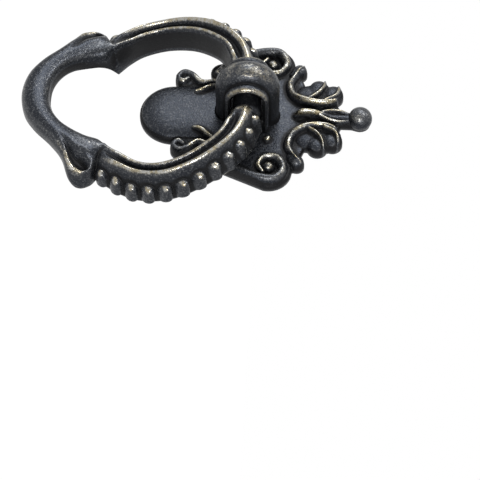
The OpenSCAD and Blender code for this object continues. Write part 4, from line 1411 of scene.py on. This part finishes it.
class AgedWashAndShade:
    """Builds the node group that all three castings share."""

    INPUTS = (("Wash", "NodeSocketColor"), ("Rubbed", "NodeSocketColor"), ("Deep", "NodeSocketColor"),
              ("Fleck", "NodeSocketColor"), ("Bright", "NodeSocketColor"),
              ("Rub Reach", "NodeSocketFloat"), ("Fleck Share", "NodeSocketFloat"),
              ("Wear", "NodeSocketFloat"), ("Patina And Shade", "NodeSocketFloat"), ("Place", "NodeSocketVector"))
    OUTPUTS = (("Base Color", "NodeSocketColor"), ("Roughness", "NodeSocketFloat"),
               ("Metallic", "NodeSocketFloat"), ("Height", "NodeSocketFloat"))
    # Noises from coarse to fine, each with its scale, detail and roughness.
    NOISES = ((260.0, 3.0, 0.6), (1300.0, 3.0, 0.65), (2900.0, 2.0, 0.75), (7000.0, 1.0, 0.5))

    def __init__(self) -> None:
        """Starts an empty group with its sockets."""
        self.tree = bpy.data.node_groups.new("aged_wash_and_shade", "ShaderNodeTree")
        for direction, sockets in (("INPUT", self.INPUTS), ("OUTPUT", self.OUTPUTS)):
            for name, kind in sockets:
                self.tree.interface.new_socket(name, in_out=direction, socket_type=kind)
        self.given = self.tree.nodes.new("NodeGroupInput").outputs
        self.result = self.tree.nodes.new("NodeGroupOutput").inputs

    def noise(self, scale: float, detail: float, rough: float) -> bpy.types.NodeSocket:
        """A noise over the piece's own coordinates, about 0.5 on average.

        Args:
            scale: How many blotches there are to a metre.
            detail: How many finer layers it has.
            rough: How strong the finer layers are.

        Returns:
            The noise's value.
        """
        node = new_node(self.tree, "ShaderNodeTexNoise",
                        {"Scale": scale, "Detail": detail, "Roughness": rough})
        self.tree.links.new(self.given["Place"], node.inputs["Vector"])
        return node.outputs["Fac"]

    def calc(self, kind: str, *values: object, clamp: bool = False) -> bpy.types.NodeSocket:
        """One arithmetic node on sockets or numbers.

        Args:
            kind: The operation.
            values: Its inputs, in order.
            clamp: Whether the result is held between 0 and 1.

        Returns:
            The result.
        """
        node = self.tree.nodes.new("ShaderNodeMath")
        node.operation = kind
        node.use_clamp = clamp
        for socket, value in zip(node.inputs, values):
            if isinstance(value, bpy.types.NodeSocket):
                self.tree.links.new(value, socket)
            else:
                socket.default_value = value
        return node.outputs[0]

    def swing(self, noise: object, reach: float) -> bpy.types.NodeSocket:
        """A noise made to swing about zero: (noise - 0.5) times reach."""
        return self.calc("MULTIPLY", self.calc("SUBTRACT", noise, 0.5), reach)

    def step(self, value: object, low: float, high: float, to_low: float = 0.0,
             to_high: float = 1.0) -> bpy.types.NodeSocket:
        """A soft step of a value, mapped to another range.

        Args:
            value: The value.
            low: Where the step begins.
            high: Where it ends.
            to_low: The result up to low.
            to_high: The result from high on.

        Returns:
            The result.
        """
        node = new_node(self.tree, "ShaderNodeMapRange",
                        {"From Min": low, "From Max": high, "To Min": to_low, "To Max": to_high})
        node.interpolation_type = "SMOOTHSTEP"
        self.tree.links.new(value, node.inputs["Value"])
        return node.outputs["Result"]

    def blend(self, share: object, a: object, b: object) -> bpy.types.NodeSocket:
        """A colour between two others.

        Args:
            share: 0 for the first colour and 1 for the second.
            a: The first colour.
            b: The second colour.

        Returns:
            The blended colour.
        """
        node = self.tree.nodes.new("ShaderNodeMix")
        node.data_type = "RGBA"
        for name, value in (("Factor", share), ("A", a), ("B", b)):
            self.tree.links.new(value, node.inputs[name])
        return node.outputs["Result"]

    def build(self) -> bpy.types.NodeTree:
        """Wires the effect: wash with flecks, rubbed edges broken by noise, dark wash in recesses and
        painted shade.

        Returns:
            The finished node group.
        """
        calc, given = self.calc, self.given
        broad, middle, fine, speck = (self.noise(*values) for values in self.NOISES)

        ragged = calc("ADD", self.swing(middle, 0.7), self.swing(fine, 0.75))
        worn = calc("ADD", calc("ADD", given["Wear"], ragged), self.swing(broad, 0.8))
        rub = self.step(calc("SUBTRACT", worn, given["Rub Reach"]), 0.0, 0.42)
        tone = self.step(worn, 0.0, 0.9, 0.0, 0.55)
        # The darkness value holds dark wash in hollows and painted shade; it takes the colour towards
        # the deep colour.
        dark = calc("MULTIPLY", self.step(calc("ADD", given["Patina And Shade"], self.swing(middle, 0.35)),
                                          0.05, 0.85), 0.92)

        flecks = calc("MULTIPLY", self.step(fine, 0.5, 0.72), given["Fleck Share"])
        spotted = self.blend(calc("ADD", flecks, tone, clamp=True), given["Wash"], given["Fleck"])
        cloudy = self.blend(self.step(broad, 0.35, 0.7, 0.0, 0.35), spotted, given["Wash"])
        metal_tone = self.blend(self.step(middle, 0.4, 0.62), given["Rubbed"], given["Bright"])
        colour = self.blend(dark, self.blend(rub, cloudy, metal_tone), given["Deep"])

        rough = calc("ADD", self.step(fine, 0.3, 0.7, 0.25, 0.37), calc("MULTIPLY", dark, 0.22))
        rough = calc("SUBTRACT", rough, calc("MULTIPLY", rub, 0.08), clamp=True)
        metal = calc("MULTIPLY", calc("ADD", 0.72, calc("MULTIPLY", rub, 0.26)),
                     calc("SUBTRACT", 1.0, calc("MULTIPLY", dark, 0.6)), clamp=True)
        height = calc("ADD", calc("MULTIPLY", fine, 0.7), calc("MULTIPLY", speck, 0.3))
        for name, value in (("Base Color", colour), ("Roughness", rough), ("Metallic", metal),
                            ("Height", height)):
            self.tree.links.new(value, self.result[name])
        return self.tree


FINISHES = (
    Finish(Side.PLATE, rubbed=(0.28, 0.245, 0.165), bright=(0.33, 0.325, 0.3), rub_reach=0.76,
           fleck_share=0.6),
    Finish(Side.EYE, rubbed=(0.235, 0.2, 0.13), bright=(0.25, 0.24, 0.215), rub_reach=0.52,
           fleck_share=0.7),
    Finish(Side.RING, rubbed=(0.28, 0.245, 0.17), bright=(0.36, 0.355, 0.335), rub_reach=0.6,
           fleck_share=0.8, grain=0.45),
)


# ---------------------------------------------------------------- studio

@dataclass(frozen=True)
class Lamp:
    """A soft rectangular lamp: where it stands, its size in metres, its watts and its colour.

    It stands in a direction given by shares of the view's right, up and way to the camera.
    """

    name: str
    direction: tuple[float, float, float]
    size: tuple[float, float]
    power: float
    tint: Colour
    distance: float = 0.6


LAMPS = (
    Lamp("over", (0.0, 0.93, 0.3), (0.4, 0.3), 3.4, (0.96, 0.98, 1.0)),
    Lamp("left", (-0.62, 0.5, 0.6), (0.1, 0.12), 3.4, (1.0, 0.99, 0.97)),
    Lamp("right", (0.6, 0.6, 0.52), (0.12, 0.16), 1.7, (1.0, 0.99, 0.97)),
    Lamp("front", (-0.05, -0.38, 0.93), (0.3, 0.1), 3.3, (1.0, 0.99, 0.98)),
)


@dataclass
class Studio:
    """Camera of the photograph, a pale floor, a white surround and soft lamps."""

    camera_at: tuple[float, float, float] = (209.95, -274.58, 8.95)
    right: tuple[float, float, float] = (-0.047, 0.002, 0.999)
    down: tuple[float, float, float] = (0.829, 0.558, 0.038)
    toward: tuple[float, float, float] = (0.557, -0.830, 0.027)
    lens: float = 145.78
    sensor: float = 36.0
    clip: tuple[float, float] = (0.01, 50.0)
    middle: tuple[float, float, float] = (0.0, -0.006, -0.009)
    plain_light: float = 0.3
    floor_z: float = -0.075
    floor_half: float = 3.0
    floor_colour: Colour = (0.85, 0.85, 0.85)
    floor_glow: float = 1.08
    glow_share: float = 0.92

    def camera(self) -> None:
        """Sets the fitted camera, with its three axes made square to each other."""
        data = bpy.data.cameras.new("view")
        data.lens = self.lens
        data.sensor_width = self.sensor
        data.clip_start, data.clip_end = self.clip
        cam = placed("view", data)
        u, _, v = np.linalg.svd(np.stack([self.right, -np.array(self.down), self.toward], axis=1))
        turn = Matrix((u @ v).tolist()).to_4x4()
        cam.matrix_world = Matrix.Translation(Vector(self.camera_at) * MM) @ turn
        bpy.context.scene.camera = cam

    def lamp(self, lamp: Lamp) -> None:
        """Hangs one lamp so that it faces the handle.

        Its own axes are the way to it, the view's right less its part along that way, and the
        cross product of the two.

        Args:
            lamp: The lamp.
        """
        data = bpy.data.lights.new(lamp.name, "AREA")
        data.shape = "RECTANGLE"
        data.size, data.size_y = lamp.size
        data.energy = lamp.power
        data.color = lamp.tint
        right, down, toward = (np.array(a) for a in (self.right, self.down, self.toward))
        way = lamp.direction[0] * right - lamp.direction[1] * down + lamp.direction[2] * toward
        way = way / np.linalg.norm(way)
        across = right - np.dot(right, way) * way
        across = across / np.linalg.norm(across)
        turn = Matrix(np.stack([across, np.cross(way, across), way], axis=1).tolist()).to_4x4()
        place = Vector(self.middle) + Vector(way.tolist()) * lamp.distance
        placed(lamp.name, data).matrix_world = Matrix.Translation(place) @ turn

    def direct(self, tree: bpy.types.NodeTree) -> bpy.types.NodeSocket:
        """1 where the camera sees something itself, in a reflection or through glass, else 0.

        Args:
            tree: The node tree it goes into.

        Returns:
            The largest of the three ray kinds' values.
        """
        path = tree.nodes.new("ShaderNodeLightPath")
        total = path.outputs["Is Camera Ray"]
        for kind in ("Is Glossy Ray", "Is Transmission Ray"):
            either = tree.nodes.new("ShaderNodeMath")
            either.operation = "MAXIMUM"
            tree.links.new(total, either.inputs[0])
            tree.links.new(path.outputs[kind], either.inputs[1])
            total = either.outputs[0]
        return total

    def world(self) -> None:
        """A white surround to the eye and in reflections, and a softer one as a light."""
        world = bpy.data.worlds.new("surround")
        bpy.context.scene.world = world
        world.use_nodes = True
        tree = world.node_tree
        tree.nodes.clear()
        mixer = tree.nodes.new("ShaderNodeMixShader")
        tree.links.new(self.direct(tree), mixer.inputs["Fac"])
        for place, strength in ((1, self.plain_light), (2, 1.0)):
            light = new_node(tree, "ShaderNodeBackground", {"Color": (1, 1, 1, 1), "Strength": strength})
            tree.links.new(light.outputs[0], mixer.inputs[place])
        tree.links.new(mixer.outputs[0], tree.nodes.new("ShaderNodeOutputWorld").inputs["Surface"])

    def floor(self) -> None:
        """A wide pale floor below the ring, mostly white to the eye, that keeps a soft shadow."""
        half = self.floor_half
        mesh = bpy.data.meshes.new("floor")
        mesh.from_pydata([(x, y, self.floor_z) for x, y in
                          ((-half, -half), (half, -half), (half, half), (-half, half))],
                         [], [(0, 1, 2, 3)])
        mat = bpy.data.materials.new("pale_floor")
        mat.use_nodes = True
        tree = mat.node_tree
        tree.nodes.clear()
        matt = new_node(tree, "ShaderNodeBsdfDiffuse", {"Color": (*self.floor_colour, 1)})
        glow = new_node(tree, "ShaderNodeEmission", {"Color": (1, 1, 1, 1), "Strength": self.floor_glow})
        mixer = tree.nodes.new("ShaderNodeMixShader")
        share = tree.nodes.new("ShaderNodeMath")
        share.operation = "MULTIPLY"
        share.inputs[1].default_value = self.glow_share
        tree.links.new(self.direct(tree), share.inputs[0])
        tree.links.new(share.outputs[0], mixer.inputs["Fac"])
        tree.links.new(matt.outputs[0], mixer.inputs[1])
        tree.links.new(glow.outputs[0], mixer.inputs[2])
        tree.links.new(mixer.outputs[0], tree.nodes.new("ShaderNodeOutputMaterial").inputs["Surface"])
        mesh.materials.append(mat)
        obj = placed("floor", mesh)

    def build(self) -> None:
        """Camera, lamps, surround and floor."""
        self.camera()
        for lamp in LAMPS:
            self.lamp(lamp)
        self.world()
        self.floor()
        bpy.context.scene.view_settings.view_transform = "Standard"


# ---------------------------------------------------------------- assembly

def dress(surface: Surface, name: str, body: str, node: str, mat: bpy.types.Material) -> None:
    """Makes a surface an object that rides on its body and stands for its node.

    Args:
        surface: The finished surface.
        name: Name of the piece.
        body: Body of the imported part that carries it.
        node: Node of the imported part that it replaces.
        mat: Its material.
    """
    obj = surface.as_object(name)
    obj.data.materials.append(mat)
    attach(obj, body)
    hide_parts(node)
    triangles = 2 * len(surface.quads) + len(surface.tris)
    LOG.info("%s: %d points, %d triangles", name, len(surface.points), triangles)


def main() -> None:
    """Builds the finishes, the three castings and the studio, in that order."""
    logging.basicConfig(level=logging.INFO, format="%(message)s")
    effect = AgedWashAndShade().build()
    finish = {look.side: look.material(effect) for look in FINISHES}
    Backplate().build(finish[Side.PLATE])
    EyePost().build(finish[Side.EYE])
    Ring().build(finish[Side.RING])
    Studio().build()


if __name__ == "__main__":
    main()
